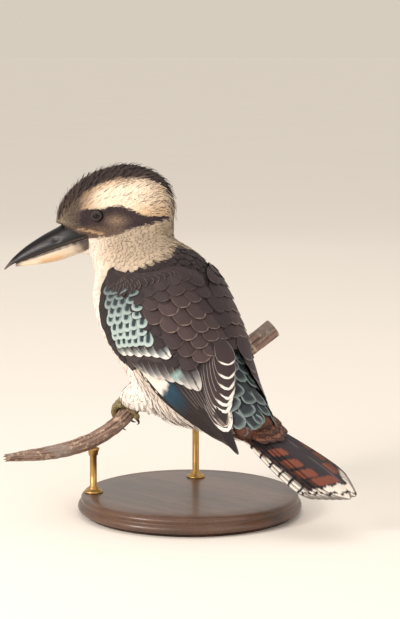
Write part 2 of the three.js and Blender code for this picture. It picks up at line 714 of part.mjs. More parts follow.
/** One toe wrapped over the branch, with its claw. */
function toe(frame, side, shape) {
  const reach = frame.radius + TOE.radius + TOE.clearance;
  const steps = 5;
  const along0 = side * -shape.along;
  const points = Array.from({ length: steps + 1 }, (_, i) => {
    const share = i / steps;
    const knuckle = TOE.knuckle * Math.sin(share * Math.PI * 3);
    const fan = along0 * (0.35 + 0.65 * share) - side * shape.lean * share;
    return gripPoint(frame, mix(shape.start, shape.end, share), fan, reach + knuckle - TOE.drop * share);
  });
  const radii = points.map((_, i) => mix(TOE.radius, TOE.tip, i / steps));
  const turn = Math.sign(shape.end);
  const clawPoints = [0, 0.35, 0.7, 1].map((share) =>
    gripPoint(
      frame,
      shape.end + turn * (share * 42 - 5),
      along0 - side * shape.lean,
      reach - TOE.drop + TOE.hook * Math.sin(Math.PI * share * 0.8) + 1.4 * share,
    ));
  const clawRadii = [0, 0.35, 0.7, 1].map((share) => mix(TOE.claw, TOE.point, share));
  return [tube(points, radii, 6), tube(clawPoints, clawRadii, 4)];
}

/** The ankle, over the foot, where the toes meet. */
const anklePoint = (frame) => gripPoint(frame, 12, 0, frame.radius + TARSUS.rise);

/** A bare leg with its toes round the branch, cut clear of its neighbours. */
function legSolid(leg, neighbours) {
  const frame = footFrame(leg);
  const ankle = anklePoint(frame);
  const palm = gripPoint(frame, 8, 0, frame.radius + PAD.height);
  const hip = point(...leg.hip);
  const shin = tube(
    [palm, ankle, mixPoint(ankle, hip, 0.35)],
    [TARSUS.radius + 1.6, TARSUS.radius, TARSUS.radius],
    LEG_SIDES,
  );
  const pad = tube([16, -22].map((angle) => gripPoint(frame, angle, 0, frame.radius + PAD.height)),
    [PAD.fore, PAD.rear], LEG_SIDES);
  const toes = TOES.flatMap((shape) => toe(frame, leg.side, shape));
  return largest(joined([shin, pad, ...toes]).subtract(neighbours));
}

/** The feathered thigh, from inside the belly to the ankle, grown outwards by a margin. */
function thighSolid(leg, grow = 0) {
  const hip = point(...leg.hip);
  const ankle = anklePoint(footFrame(leg));
  const shares = [0, 0.3, 0.6, 0.85, 1];
  const radii = [1, 1, 0.84, 0.6, THIGH.ankle / THIGH.radius].map((share) => share * THIGH.radius + grow);
  const points = shares.map((share) => mixPoint(hip, ankle, share));
  points[0].add(hip.clone().sub(ankle).normalize().multiplyScalar(grow));
  points[4].add(ankle.clone().sub(hip).normalize().multiplyScalar(grow));
  return tube(points, radii, 16);
}

/** The round base, with a moulded edge. */
function baseSolid() {
  const { radius, height, edge, foot, step, bead } = BASE;
  const profile = [
    [0, 0], [foot, 0], [foot, step], [radius, step + 2], [radius, height - 1.5 * edge],
    [radius - bead, height - bead - edge / 2], [radius - edge, height], [0, height],
  ].map(([r, z]) => new THREE.Vector2(r, z));
  const lathe = new THREE.LatheGeometry(profile, 40);
  return solidOf(lathe.rotateX(Math.PI / 2));
}

/** One rod, from the top of the base to the underside of the branch. */
function rodSolid(share, perch) {
  const { centre } = branchSection(share);
  const height = centre.z - BASE.height - GAP;
  const rod = new THREE.CylinderGeometry(ROD_RADIUS, ROD_RADIUS, height, 20);
  rod.rotateX(Math.PI / 2).translate(centre.x, centre.y, BASE.height + GAP + height / 2);
  return largest(solidOf(rod).subtract(perch));
}

const finishes = {
  crown: { color: 0x4a3c38, roughness: 0.85 },
  cream: { color: 0xe8dcc8, roughness: 0.9 },
  brown: { color: 0x463633, roughness: 0.8 },
  rufous: { color: 0x9a5638, roughness: 0.8 },
  blackHorn: { color: 0x2a2629, roughness: 0.35 },
  paleHorn: { color: 0xd8bd92, roughness: 0.4 },
  eye: { color: 0x1c1210, roughness: 0.08 },
  olive: { color: 0x8c8455, roughness: 0.6 },
  bark: { color: 0x93796a, roughness: 0.9 },
  wood: { color: 0x4b3626, roughness: 0.4 },
  brass: { color: 0xb08d4f, roughness: 0.35, metalness: 1 },
};

const group = new THREE.Group();

/** Adds one named piece to the group. */
function add(name, solid, finish) {
  const { vertProperties, triVerts, numProp } = solid.getMesh();
  const places = new Float32Array((vertProperties.length / numProp) * 3);
  for (let i = 0; i < places.length / 3; i += 1) {
    places.set(vertProperties.subarray(i * numProp, i * numProp + 3), i * 3);
  }
  const geometry = new THREE.BufferGeometry();
  geometry.setAttribute('position', new THREE.BufferAttribute(places, 3));
  geometry.setIndex(new THREE.BufferAttribute(triVerts, 1));
  geometry.computeVertexNormals();
  const mesh = new THREE.Mesh(geometry, new THREE.MeshStandardMaterial(finishes[finish]));
  mesh.name = name;
  group.add(mesh);
}

const whole = joined([bodySolid(), neckSolid(), skull()]);
const chin = headPlace(CHIN.ahead, 0, CHIN.up);
const nape = headPlace(NAPE.ahead, 0, NAPE.up);
const headFacing = new THREE.Vector3().crossVectors(LEFT, chin.clone().sub(nape));
if (headFacing.z < 0) headFacing.negate();
const [headCore, belowHead] = parted(whole, chin, headFacing);
const [neck, torso] = parted(belowHead, point(NECK_BASE.x, 0, NECK_BASE.z), point(-NECK_BASE.slope, 0, 1));

const bodyRoom = joined([bodySolid(GAP), neckSolid()]);
const wingRoom = wasm.Manifold.union([bodyRoom, ...tailFeathers(GAP)]);
const perchRoom = branchSolid(GAP);

add('torso', torso, 'cream');
add('neck', neck, 'cream');
add('head', headSolid(headCore), 'crown');
add('bill_upper', billUpper(), 'blackHorn');
add('bill_lower', billHalf(BILL_LOWER, false), 'paleHorn');
for (const [name, side] of [['left', 1], ['right', -1]]) {
  add(`eye_${name}`, eyeSolid(side), 'eye');
}
for (const [name, side] of [['left', -1], ['right', 1]]) {
  add(`wing_${name}`, wingSolid(side, wingRoom), 'brown');
}
add('tail', tailSolid(bodyRoom), 'rufous');
for (const [name, leg] of Object.entries(LEGS)) {
  add(`thigh_${name}`, largest(thighSolid(leg).subtract(bodyRoom)), 'cream');
  add(`leg_${name}`, legSolid(leg, wasm.Manifold.union([bodyRoom, perchRoom, thighSolid(leg, GAP)])), 'olive');
}
add('perch', branchSolid(), 'bark');
add('stand_base', baseSolid(), 'wood');
for (const [name, share] of Object.entries(RODS)) {
  add(`stand_rod_${name}`, rodSolid(share, perchRoom), 'brass');
}

export default group;
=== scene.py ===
"""The looks of a life-size laughing kookaburra on its cut perch, which a plain display stand holds.

Sizes are in millimetres and are turned into metres where a mesh is made. The bird's body faces -X, its left
side is -Y, +Z is up, and the origin is the middle of the underside of the stand's base.
"""

import logging
import math
from collections.abc import Callable, Sequence
from dataclasses import dataclass, field
from enum import Enum

import bmesh
import bpy
import numpy as np
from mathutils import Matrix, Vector
from mathutils.bvhtree import BVHTree


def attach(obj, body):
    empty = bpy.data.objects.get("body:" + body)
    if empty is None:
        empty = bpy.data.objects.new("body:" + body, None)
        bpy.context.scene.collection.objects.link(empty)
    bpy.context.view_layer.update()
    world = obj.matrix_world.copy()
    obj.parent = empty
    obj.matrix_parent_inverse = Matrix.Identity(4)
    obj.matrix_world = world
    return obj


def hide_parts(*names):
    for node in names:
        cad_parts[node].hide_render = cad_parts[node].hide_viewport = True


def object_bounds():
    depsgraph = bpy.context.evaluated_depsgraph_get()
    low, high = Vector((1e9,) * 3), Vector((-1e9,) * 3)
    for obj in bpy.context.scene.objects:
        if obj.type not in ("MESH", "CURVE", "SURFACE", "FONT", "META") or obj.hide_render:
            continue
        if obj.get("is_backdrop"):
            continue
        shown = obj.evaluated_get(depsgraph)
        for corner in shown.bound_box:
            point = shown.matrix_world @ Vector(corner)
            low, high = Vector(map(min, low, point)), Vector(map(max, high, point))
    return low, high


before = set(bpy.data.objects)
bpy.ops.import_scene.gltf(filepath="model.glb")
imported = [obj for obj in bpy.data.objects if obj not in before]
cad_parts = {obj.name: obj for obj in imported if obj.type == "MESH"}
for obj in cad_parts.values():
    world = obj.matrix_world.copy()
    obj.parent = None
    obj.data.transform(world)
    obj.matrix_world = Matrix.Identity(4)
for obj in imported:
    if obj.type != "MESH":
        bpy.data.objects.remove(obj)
CAD_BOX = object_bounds()

MM = 0.001
RAD = math.pi / 180
BODY = "root"
PATCH = 0.003  # how wide one feather's patch is on the bake map
SEED = 7
UP = np.array([0.0, 0.0, 1.0])
Array = np.ndarray
Num = Array | float
Piece = bpy.types.Object
Material = bpy.types.Material
Node = bpy.types.Node
Socket = bpy.types.NodeSocket
log = logging.getLogger("kookaburra")


class Side(Enum):
    """The bird's sides, as the sign of Y."""

    LEFT = -1
    RIGHT = 1


def colour(code: str) -> Array:
    """Turns six hex digits into linear red, green and blue."""
    parts = np.array([int(code[i : i + 2], 16) / 255 for i in (0, 2, 4)])
    return np.where(parts <= 0.04045, parts / 12.92, ((parts + 0.055) / 1.055) ** 2.4)


def rgba(code: str) -> tuple:
    """Gives a hex colour in the form that a socket takes."""
    return (*colour(code), 1)


def evenly(code: str, count: int) -> Array:
    """Gives one colour for each of a number of points."""
    return np.tile(colour(code), (count, 1))

def unit(vectors: Array) -> Array:
    """Scales vectors to length one."""
    return vectors / np.maximum(np.linalg.norm(vectors, axis=-1, keepdims=True), 1e-9)


def step(low: Num, high: Num, value: Array) -> Array:
    """Rises smoothly from 0 at low to 1 at high."""
    share = np.clip((value - low) / (high - low), 0, 1)
    return share * share * (3 - 2 * share)


def mix(a: Num, b: Num, share: Num) -> Array:
    """Goes from a to b by a share."""
    return a + (b - a) * share


def over(tints: Array, code: str, share: Array) -> Array:
    """Lays a colour over rows of colours by a share at each."""
    return mix(tints, colour(code), share[..., None])


def smooth(rows: Sequence, share: Num) -> Array:
    """Reads a smooth curve through evenly spaced stations.

    Args:
        rows: the value, or the row of values, at each station.
        share: places along the curve, from 0 to 1.

    Returns:
        The value or row at each place.
    """
    rows = np.asarray(rows, float)
    last = len(rows) - 1
    at = np.asarray(share, float) * last
    i = np.clip(np.floor(at), 0, last - 1).astype(int)
    f = at - i
    ends = np.concatenate([[2 * rows[0] - rows[1]], rows, [2 * rows[-1] - rows[-2]]])
    a, b, c, d = (ends[i + k] for k in range(4))
    if rows.ndim > 1:
        f = f[..., None]
    return b + 0.5 * f * (c - a + f * (2 * a - 5 * b + 4 * c - d + f * (3 * (b - c) + d - a)))


def ripple(points: Array, size: float, seed: float = 0.0) -> Array:
    """Gives a soft, irregular wave over space.

    Args:
        points: the places.
        size: the rough distance between crests.
        seed: shifts the pattern.

    Returns:
        A height between -1 and 1 at each place.
    """
    p = points * (2 * math.pi / size)
    x, y, z = p[..., 0], p[..., 1], p[..., 2]
    first = np.sin(x + 1.7 * np.sin(0.61 * y + seed) + seed)
    second = np.sin(0.83 * y + 1.3 * np.sin(0.74 * z - seed) + 2 * seed)
    third = np.sin(1.13 * z + 1.5 * np.sin(0.57 * x + 3 * seed))
    return (first + second + third) / 3


@dataclass(frozen=True)
class BodyShape:
    """The body's sections along its axis in the plane y = 0: x, z, half depth and half width of each.

    The belly is how much deeper each section is below than above.
    """

    rows: tuple
    belly: tuple = ()

    def section(self, place: Num) -> tuple[Array, Array, Array, Array]:
        """Finds a section.

        Args:
            place: its place, counted along the rows.

        Returns:
            The centre, the way to the back, the half depth and the half width.
        """
        last = len(self.rows) - 1
        share = np.asarray(place, float) / last
        row = smooth(self.rows, share)
        run = smooth(self.rows, share + 0.5 / last) - smooth(self.rows, share - 0.5 / last)
        none = np.zeros_like(row[..., 0])
        centre = np.stack([row[..., 0], none, row[..., 1]], -1)
        back = unit(np.stack([-run[..., 1], none, run[..., 0]], -1))
        return centre, back, row[..., 2], row[..., 3]

    def point(self, place: Num, angle: Num, lift: Num) -> Array:
        """Finds a point round the body.

        Args:
            place: the section, counted along the rows.
            angle: degrees from the middle of the back, positive to the bird's right.
            lift: the height over the surface.

        Returns:
            The point.
        """
        centre, back, depth, width = self.section(place)
        turn = np.asarray(angle, float) * RAD
        across = np.sin(turn) * (width + lift)
        high = np.cos(turn)
        deep = depth + lift + self.below(place) * (high < 0)
        return centre + back * (high * deep)[..., None] + across[..., None] * np.array([0, 1.0, 0])

    def below(self, place: Num) -> Array:
        """Gives how much deeper the sections at places are below than above.

        Args:
            place: places along the body.

        Returns:
            The difference in millimetres.
        """
        if not self.belly:
            return np.zeros_like(place, float)
        return smooth(self.belly, np.asarray(place, float) / (len(self.belly) - 1))


@dataclass(frozen=True)
class HeadShape:
    """The head's sections from bill to nape: the distance ahead of the eyes, top, bottom and half width."""

    rows: tuple
    middle: tuple
    turn: float

    @property
    def axes(self) -> Array:
        """The head's own directions as rows: ahead, to its left and up.

        Returns:
            The three directions, one to a row.
        """
        turn = self.turn * RAD
        return np.array([
            [-math.cos(turn), -math.sin(turn), 0],
            [math.sin(turn), -math.cos(turn), 0],
            [0, 0, 1],
        ])

    def place(self, ahead: Num, left: Num, up: Num) -> Array:
        """Finds a point from its distances ahead of, to the left of and above the middle of the eyes."""
        parts = np.stack(np.broadcast_arrays(ahead, left, up), -1)
        return np.asarray(self.middle) + parts.astype(float) @ self.axes

    def local(self, points: Array) -> Array:
        """Gives the distances ahead, left and up of points."""
        return (points - np.asarray(self.middle)) @ self.axes.T

    def point(self, share: Num, angle: Num, lift: Num) -> Array:
        """Finds a point over the head.

        Args:
            share: the way from the bill to the nape, from 0 to 1.
            angle: degrees from the crown, positive to the head's left.
            lift: the height over the surface.

        Returns:
            The point.
        """
        ahead, top, bottom, width = np.moveaxis(smooth(self.rows, share), -1, 0)
        turn = np.asarray(angle, float) * RAD
        left = np.sin(turn) * (width + lift)
        return self.place(ahead, left, (top + bottom) / 2 + np.cos(turn) * ((top - bottom) / 2 + lift))


@dataclass(frozen=True)
class WingShape:
    """A folded wing's borders on its bed, as angles from the middle of the back at even places along it."""

    bed: BodyShape
    start: float
    end: float
    leading: tuple
    inner: tuple

    def point(self, side: Side, lengthwise: Array, across: Array, lift: Num) -> Array:
        """Finds a point at shares of the length from the bend, and of the breadth from the leading edge."""
        turn = mix(smooth(self.leading, lengthwise), smooth(self.inner, lengthwise), across)
        return self.bed.point(mix(self.start, self.end, lengthwise), side.value * turn, lift)

    def out(self, side: Side, lengthwise: Array, across: Array) -> Array:
        """Gives the way out of the wing's surface."""
        return unit(self.point(side, lengthwise, across, 1.0) - self.point(side, lengthwise, across, 0.0))


# The sections of body and wing bed: x, z, half depth and half width.
BODY_ROWS = (
    (-66, 246, 16, 18), (-59, 225, 31, 31), (-51, 203, 53.5, 44), (-41, 181, 61, 47), (-25, 159, 58.5, 47.5),
    (-7, 138, 52.5, 45), (11, 120, 46, 41), (30, 106, 37, 36), (49, 96, 27, 29), (68, 86, 18, 23),
    (86, 76, 9, 17),
)
BELLY = (0, 0, 0, 0, 0, 5, 9, 0, 0, 0, 0)
BED_ROWS = BODY_ROWS[:6] + (
    (10, 118, 47, 42), (28, 101, 38.5, 37), (47, 86, 28.5, 30), (67, 72, 20, 24.5), (88, 59, 13, 20),
)
HEAD_ROWS = (
    (34.5, -7, -24, 8), (32, 3, -30, 13), (27, 13, -34, 16.5), (17, 24.5, -37, 19.5), (5, 33, -38, 22),
    (-8, 38.5, -40, 24.5), (-22, 42, -43, 27), (-37, 41, -44, 29), (-51, 35, -42, 28), (-61, 25, -34, 22),
    (-66, 12, -22, 12),
)
# The neck's level sections: height, x, y, half length along the way it faces, half width, and its turn.
NECK_ROWS = (
    (244, -66, -6, 31, 26, 42), (232, -64, -5, 37, 31, 38), (220, -59, -2, 42.5, 37, 24),
    (208, -53, 0, 48, 41, 10), (196, -48, 0, 51, 43, 0),
)
TRUNK = BodyShape(BODY_ROWS, BELLY)
HEAD = HeadShape(HEAD_ROWS, (-87, -24, 254), 42)
WING = WingShape(
    BodyShape(BED_ROWS), 2.3, 9.5,
    (98, 111, 116, 115, 112, 107, 102, 101, 105, 112), (72, 34, 18, 11, 7, 9, 19, 32, 50, 80),
)
TORSO_END = 9.9
EYE_AHEAD, EYE_SIDE, EYE_UP, EYE_RADIUS = -2.0, 19.6, -1.5, 6.0
BILL_ROOT = (34.0, 0.0, -20.0)  # where the head's feathers spread from

# The feathers' borders above and below the bill's base: distance ahead of the eyes, and height over them.
BILL_EDGE = ((1, -19), (13, -18.2), (18.1, -15.6), (24.9, -12.5), (33.8, -10.8))
CHIN_EDGE = ((8, -22), (17, -33), (23, -46))


def pick(piece: Piece) -> None:
    """Selects a piece alone.

    Args:
        piece: the mesh object.
    """
    bpy.ops.object.select_all(action="DESELECT")
    piece.select_set(True)
    bpy.context.view_layer.objects.active = piece


def edit(piece: Piece) -> bmesh.types.BMesh:
    """Opens a piece alone in edit mode, and gives its edit mesh.

    Args:
        piece: the mesh object.

    Returns:
        The edit mesh.
    """
    if bpy.context.object and bpy.context.object.mode != "OBJECT":
        bpy.ops.object.mode_set(mode="OBJECT")
    pick(piece)
    bpy.ops.object.mode_set(mode="EDIT")
    return bmesh.from_edit_mesh(piece.data)


def close(piece: Piece) -> Piece:
    """Leaves edit mode with the faces turned outwards.

    Args:
        piece: the mesh object.

    Returns:
        The same piece.
    """
    bpy.ops.mesh.select_all(action="SELECT")
    bpy.ops.mesh.normals_make_consistent(inside=False)
    bpy.ops.object.mode_set(mode="OBJECT")
    bpy.ops.object.shade_smooth()
    return piece


def apply(piece: Piece, kind: str, **values: object) -> None:
    """Adds a modifier of a kind to a piece, with its settings, and applies it.

    Args:
        piece: the mesh object.
        kind: the modifier's type.
        **values: the settings, by name.
    """
    pick(piece)
    modifier = piece.modifiers.new(kind.lower(), kind)
    for name, value in values.items():
        setattr(modifier, name, value)
    bpy.ops.object.modifier_apply(modifier=modifier.name)


def join(pieces: Sequence[Piece], name: str) -> Piece:
    """Joins pieces into the first of them, and names it.

    Args:
        pieces: the pieces.
        name: the piece's name.

    Returns:
        The joined piece.
    """
    bpy.ops.object.select_all(action="DESELECT")
    for piece in pieces:
        piece.select_set(True)
    bpy.context.view_layer.objects.active = pieces[0]
    if len(pieces) > 1:
        bpy.ops.object.join()
    pieces[0].name = name
    pieces[0].data.name = name
    return pieces[0]


def places_of(piece: Piece) -> Array:
    """Reads a mesh's points in millimetres.

    Args:
        piece: the mesh object.

    Returns:
        One row for each point.
    """
    places = np.empty(len(piece.data.vertices) * 3)
    piece.data.vertices.foreach_get("co", places)
    return places.reshape(-1, 3) / MM


def move_points(piece: Piece, places: Array) -> None:
    """Sets a mesh's points, given in millimetres."""
    piece.data.vertices.foreach_set("co", (places * MM).astype(np.float32).ravel())
    piece.data.update()


def loft(name: str, rings: Sequence[Array]) -> Piece:
    """Extrudes a circle from section to section, and draws each new ring out to its section.

    Args:
        name: the new piece's name.
        rings: the sections' points in millimetres, each with as many as the first.

    Returns:
        A closed piece, with the map "around": u round it and v along it.
    """
    sides = len(rings[0])
    bpy.ops.object.select_all(action="DESELECT")
    bpy.ops.mesh.primitive_circle_add(vertices=sides, radius=MM, fill_type="NGON")
    piece = bpy.context.object
    piece.name = name
    piece.data.name = name
    mesh = edit(piece)
    mesh.verts.ensure_lookup_table()
    slots = {v.index: v.index for v in mesh.verts}
    numbers = [(v.index, 0) for v in mesh.verts]
    for vert in mesh.verts:
        vert.co = Vector(rings[0][vert.index] * MM)
    for number, ring in enumerate(rings[1:], start=1):
        bpy.ops.mesh.extrude_region_move(TRANSFORM_OT_translate={"value": (0, 0, MM)})
        mesh = bmesh.from_edit_mesh(piece.data)
        mesh.verts.ensure_lookup_table()
        newer = {}
        for vert in mesh.verts[len(numbers) :]:
            linked = (e.other_vert(vert).index for e in vert.link_edges)
            slot = slots[next(index for index in linked if index in slots)]
            newer[vert.index] = slot
            numbers.append((slot, number))
            vert.co = Vector(ring[slot] * MM)
        slots = newer
    layer = mesh.loops.layers.uv.new("around")
    for face in mesh.faces:
        wraps = {numbers[loop.vert.index][0] for loop in face.loops} == {0, sides - 1}
        for loop in face.loops:
            slot, number = numbers[loop.vert.index]
            turn = 1.0 if wraps and slot == 0 else slot / sides
            loop[layer].uv = (turn, number / (len(rings) - 1))
    bmesh.update_edit_mesh(piece.data)
    return close(piece)


def oval(centre: Array, a: Array, b: Array, sides: int) -> Array:
    """Gives points evenly round an ellipse from its two half axes as vectors."""
    turn = np.linspace(0, 2 * math.pi, sides, endpoint=False)[:, None]
    return centre + a * np.cos(turn) + b * np.sin(turn)


def tube_rings(path: Array, radii: Array, sides: int, flat: float = 1.0) -> list[Array]:
    """Gives the sections of a round tube.

    Args:
        path: the points of its axis.
        radii: the radius at each.
        sides: the points of a section.
        flat: the share of its height that an oval section keeps.

    Returns:
        A ring of points for each point of the path.
    """
    way = unit(np.gradient(path, axis=0))
    guide = np.where(np.abs(way[:, 2:3]) > 0.9, np.array([[1.0, 0, 0]]), UP)
    a = unit(np.cross(way, guide))
    b = np.cross(way, a)
    return [oval(p, x * r, y * r * flat, sides) for p, x, y, r in zip(path, a, b, radii)]


def stain(piece: Piece, name: str, tints: Array) -> Piece:
    """Stores one colour of three or four numbers for each point of a mesh, under a name.

    Args:
        piece: the mesh object.
        name: the name that the finish reads.
        tints: one row of numbers for each point.

    Returns:
        The same piece.
    """
    if tints.shape[1] == 3:
        tints = np.concatenate([tints, np.ones((len(tints), 1))], 1)
    layer = piece.data.attributes.new(name, "FLOAT_COLOR", "POINT")
    layer.data.foreach_set("color", tints.astype(np.float32).ravel())
    return piece


class Net:
    """A short way to lay out the nodes of a material or a node group."""

    def __init__(self, tree: bpy.types.NodeTree) -> None:
        """Takes the tree to fill."""
        self.tree = tree

    def node(self, kind: str, **settings: object) -> Node:
        """Adds a node of a kind, with its settings.

        Args:
            kind: the node's type.
            **settings: the node's settings, by name.

        Returns:
            The node.
        """
        made = self.tree.nodes.new(kind)
        for name, value in settings.items():
            setattr(made, name, value)
        return made

    def feed(self, socket: Socket, value: object) -> None:
        """Links an output to a socket, or sets the socket to a value.

        Args:
            socket: the input socket.
            value: the output socket or the value.
        """
        if isinstance(value, Socket):
            self.tree.links.new(value, socket)
        else:
            socket.default_value = value

    def fill(self, node: Node, values: dict[object, object]) -> Node:
        """Feeds a node's inputs by name or number.

        Args:
            node: the node.
            values: what each input takes.

        Returns:
            The same node.
        """
        for name, value in values.items():
            self.feed(node.inputs[name], value)
        return node

    def math(self, operation: str, a: object, b: object = 0.0) -> Socket:
        """Adds a step of arithmetic between two values."""
        return self.fill(self.node("ShaderNodeMath", operation=operation), {0: a, 1: b}).outputs[0]

    def plus(self, a: object, b: object) -> Socket:
        """Adds two values."""
        return self.math("ADD", a, b)

    def less(self, a: object, b: object) -> Socket:
        """Takes b from a."""
        return self.math("SUBTRACT", a, b)

    def times(self, a: object, b: object) -> Socket:
        """Multiplies two values."""
        return self.math("MULTIPLY", a, b)

    def rise(self, value: object, low: object, high: object) -> Socket:
        """Adds a smooth rise from 0 at low to 1 at high."""
        made = self.node("ShaderNodeMapRange", interpolation_type="SMOOTHSTEP")
        return self.fill(made, {"Value": value, "From Min": low, "From Max": high}).outputs[0]

    def blend(self, share: object, a: object, b: object, how: str = "MIX") -> Socket:
        """Adds a mix of two colours."""
        made = self.node("ShaderNodeMix", data_type="RGBA", blend_type=how)
        return self.fill(made, {0: share, 6: a, 7: b}).outputs[2]

    def shade(self, tint: object, value: object) -> Socket:
        """Multiplies a colour by a value."""
        grey = self.fill(self.node("ShaderNodeCombineColor"), {0: value, 1: value, 2: value})
        return self.blend(1.0, tint, grey.outputs[0], "MULTIPLY")

    def split(self, where: object) -> list[Socket]:
        """Gives the three parts of a place."""
        return list(self.fill(self.node("ShaderNodeSeparateXYZ"), {0: where}).outputs)

    def noise(self, where: object, scale: object, detail: float = 4.0) -> Socket:
        """Adds a noise read at a place."""
        made = self.node("ShaderNodeTexNoise")
        return self.fill(made, {"Vector": where, "Scale": scale, "Detail": detail}).outputs["Fac"]

    def spread(self, where: object, scale: tuple, move: tuple = (0, 0, 0)) -> Socket:
        """Adds a mapping that moves and stretches a place."""
        made = self.node("ShaderNodeMapping")
        return self.fill(made, {"Vector": where, "Location": move, "Scale": scale}).outputs[0]

    def map(self, name: str) -> Socket:
        """Reads one of the piece's own maps."""
        return self.node("ShaderNodeUVMap", uv_map=name).outputs[0]

    def tint(self, name: str) -> Node:
        """Reads one of the piece's own colours, with its share."""
        return self.node("ShaderNodeAttribute", attribute_name=name)

    def spot(self) -> Socket:
        """Reads the place on the object."""
        return self.node("ShaderNodeTexCoord").outputs["Object"]

    def uneven(self, tint: object, place: object, scale: float, amount: float) -> Socket:
        """Places the shared uneven shade over a colour.

        Args:
            tint: the colour.
            place: where it is read.
            scale: how fine the patches are.
            amount: how strong they are.

        Returns:
            The shaded colour.
        """
        made = self.node("ShaderNodeGroup", node_tree=BLOTCH_GROUP)
        return self.fill(
            made, {"Color": tint, "Place": place, "Scale": scale, "Amount": amount},
        ).outputs["Color"]

    def bump(self, shader: Node, height: object, strength: float, depth: float) -> None:
        """Raises a height in the shader's normal.

        Args:
            shader: the material's shader.
            height: the height's socket.
            strength: how strongly it shows.
            depth: the full height, in metres.
        """
        made = self.fill(
            self.node("ShaderNodeBump"), {"Strength": strength, "Distance": depth, "Height": height},
        )
        self.feed(shader.inputs["Normal"], made.outputs[0])


def group(name: str, inputs: dict[str, tuple], outputs: dict[str, str]) -> tuple[Net, dict[str, Socket]]:
    """Starts a node group.

    Args:
        name: the group's name.
        inputs: each input's kind and first value.
        outputs: each output's kind.

    Returns:
        The group's net, and its inputs by name.
    """
    tree = bpy.data.node_groups.new(name, "ShaderNodeTree")
    for label, (kind, value) in inputs.items():
        made = tree.interface.new_socket(label, in_out="INPUT", socket_type="NodeSocket" + kind)
        if value is not None:
            made.default_value = value
    for label, kind in outputs.items():
        tree.interface.new_socket(label, in_out="OUTPUT", socket_type="NodeSocket" + kind)
    net = Net(tree)
    entry = net.node("NodeGroupInput")
    return net, {label: entry.outputs[label] for label in inputs}


def vane_group() -> bpy.types.NodeTree:
    """Makes the shared pattern of a feather: rim, pale or dark tip, streak along the shaft, and barbs.

    Returns:
        The node group.
    """
    grey = ("Color", rgba("808080"))
    shares = {
        "Mark Share": 1.0, "Streak Share": 0.0, "Rim": 0.3, "Tip": 0.85, "Softness": 0.1, "Streak Width": 0.3,
        "Streak End": 0.9, "Barbs": 26.0, "Barb Depth": 0.2, "Ragged": 0.2,
    }
    net, given = group(
        "vane_pattern",
        {"Vane": ("Vector", None), "Base": grey, "Mark": grey, "Streak": grey}
        | {label: ("Float", value) for label, value in shares.items()},
        {"Color": "Color", "Height": "Float"},
    )
    plus, less, times = net.plus, net.less, net.times
    across, down, _ = net.split(given["Vane"])
    spread = net.math("ABSOLUTE", less(times(across, 2.0), 1.0))
    grain = net.noise(net.spread(given["Vane"], (9, 14, 1)), 1.0)
    rough = times(less(grain, 0.5), given["Ragged"])
    edge = plus(spread, rough)
    low = less(1.0, given["Rim"])
    rim = times(net.rise(edge, low, plus(low, given["Softness"])), net.rise(down, 0.25, 0.5))
    end = plus(plus(down, rough), times(times(spread, spread), 0.12))
    tip = net.rise(end, given["Tip"], plus(given["Tip"], given["Softness"]))
    tinted = net.blend(
        times(net.math("MAXIMUM", rim, tip), given["Mark Share"]), given["Base"], given["Mark"],
    )
    thin = times(given["Streak Width"], less(1.15, times(down, 0.6)))
    streak = less(1.0, net.rise(edge, times(thin, 0.55), thin))
    fade = less(1.0, net.rise(down, less(given["Streak End"], 0.12), given["Streak End"]))
    tinted = net.blend(times(times(streak, fade), given["Streak Share"]), tinted, given["Streak"])
    slant = plus(down, times(spread, -0.35))
    wave = net.math("SINE", times(times(slant, given["Barbs"]), 2 * math.pi))
    wave = plus(times(wave, 0.5), 0.5)
    shaft = less(1.0, net.rise(spread, 0.02, 0.07))
    shaded = net.shade(tinted, less(1.0, times(wave, given["Barb Depth"])))
    height = plus(wave, times(shaft, 2.0))
    net.fill(net.node("NodeGroupOutput"), {"Color": shaded, "Height": height})
    return net.tree


def blotch_group() -> bpy.types.NodeTree:
    """Makes the shared uneven shade: a colour made darker and lighter in soft patches over the object.

    Returns:
        The node group.
    """
    net, given = group(
        "uneven_shade",
        {"Color": ("Color", rgba("808080")), "Place": ("Vector", None), "Scale": ("Float", 60.0),
         "Amount": ("Float", 0.2)},
        {"Color": "Color"},
    )
    patches = net.noise(given["Place"], given["Scale"], 2.0)
    value = net.plus(1.0, net.times(net.less(patches, 0.5), given["Amount"]))
    net.fill(net.node("NodeGroupOutput"), {"Color": net.shade(given["Color"], value)})
    return net.tree


VANE_GROUP = vane_group()
BLOTCH_GROUP = blotch_group()


@dataclass(frozen=True)
class Finish:
    """What every finish shares: its name and its gloss."""

    name: str
    roughness: float = 0.7

    def material(self) -> Material:
        """Makes the material, with one shader and the nodes of its kind.

        Returns:
            The material.
        """
        made = bpy.data.materials.new(self.name)
        made.use_nodes = True
        shader = made.node_tree.nodes["Principled BSDF"]
        shader.inputs["Roughness"].default_value = self.roughness
        self.lay_out(Net(made.node_tree), shader)
        return made

    def lay_out(self, net: Net, shader: Node) -> None:
        """Adds the nodes of the finish's kind."""
        raise NotImplementedError


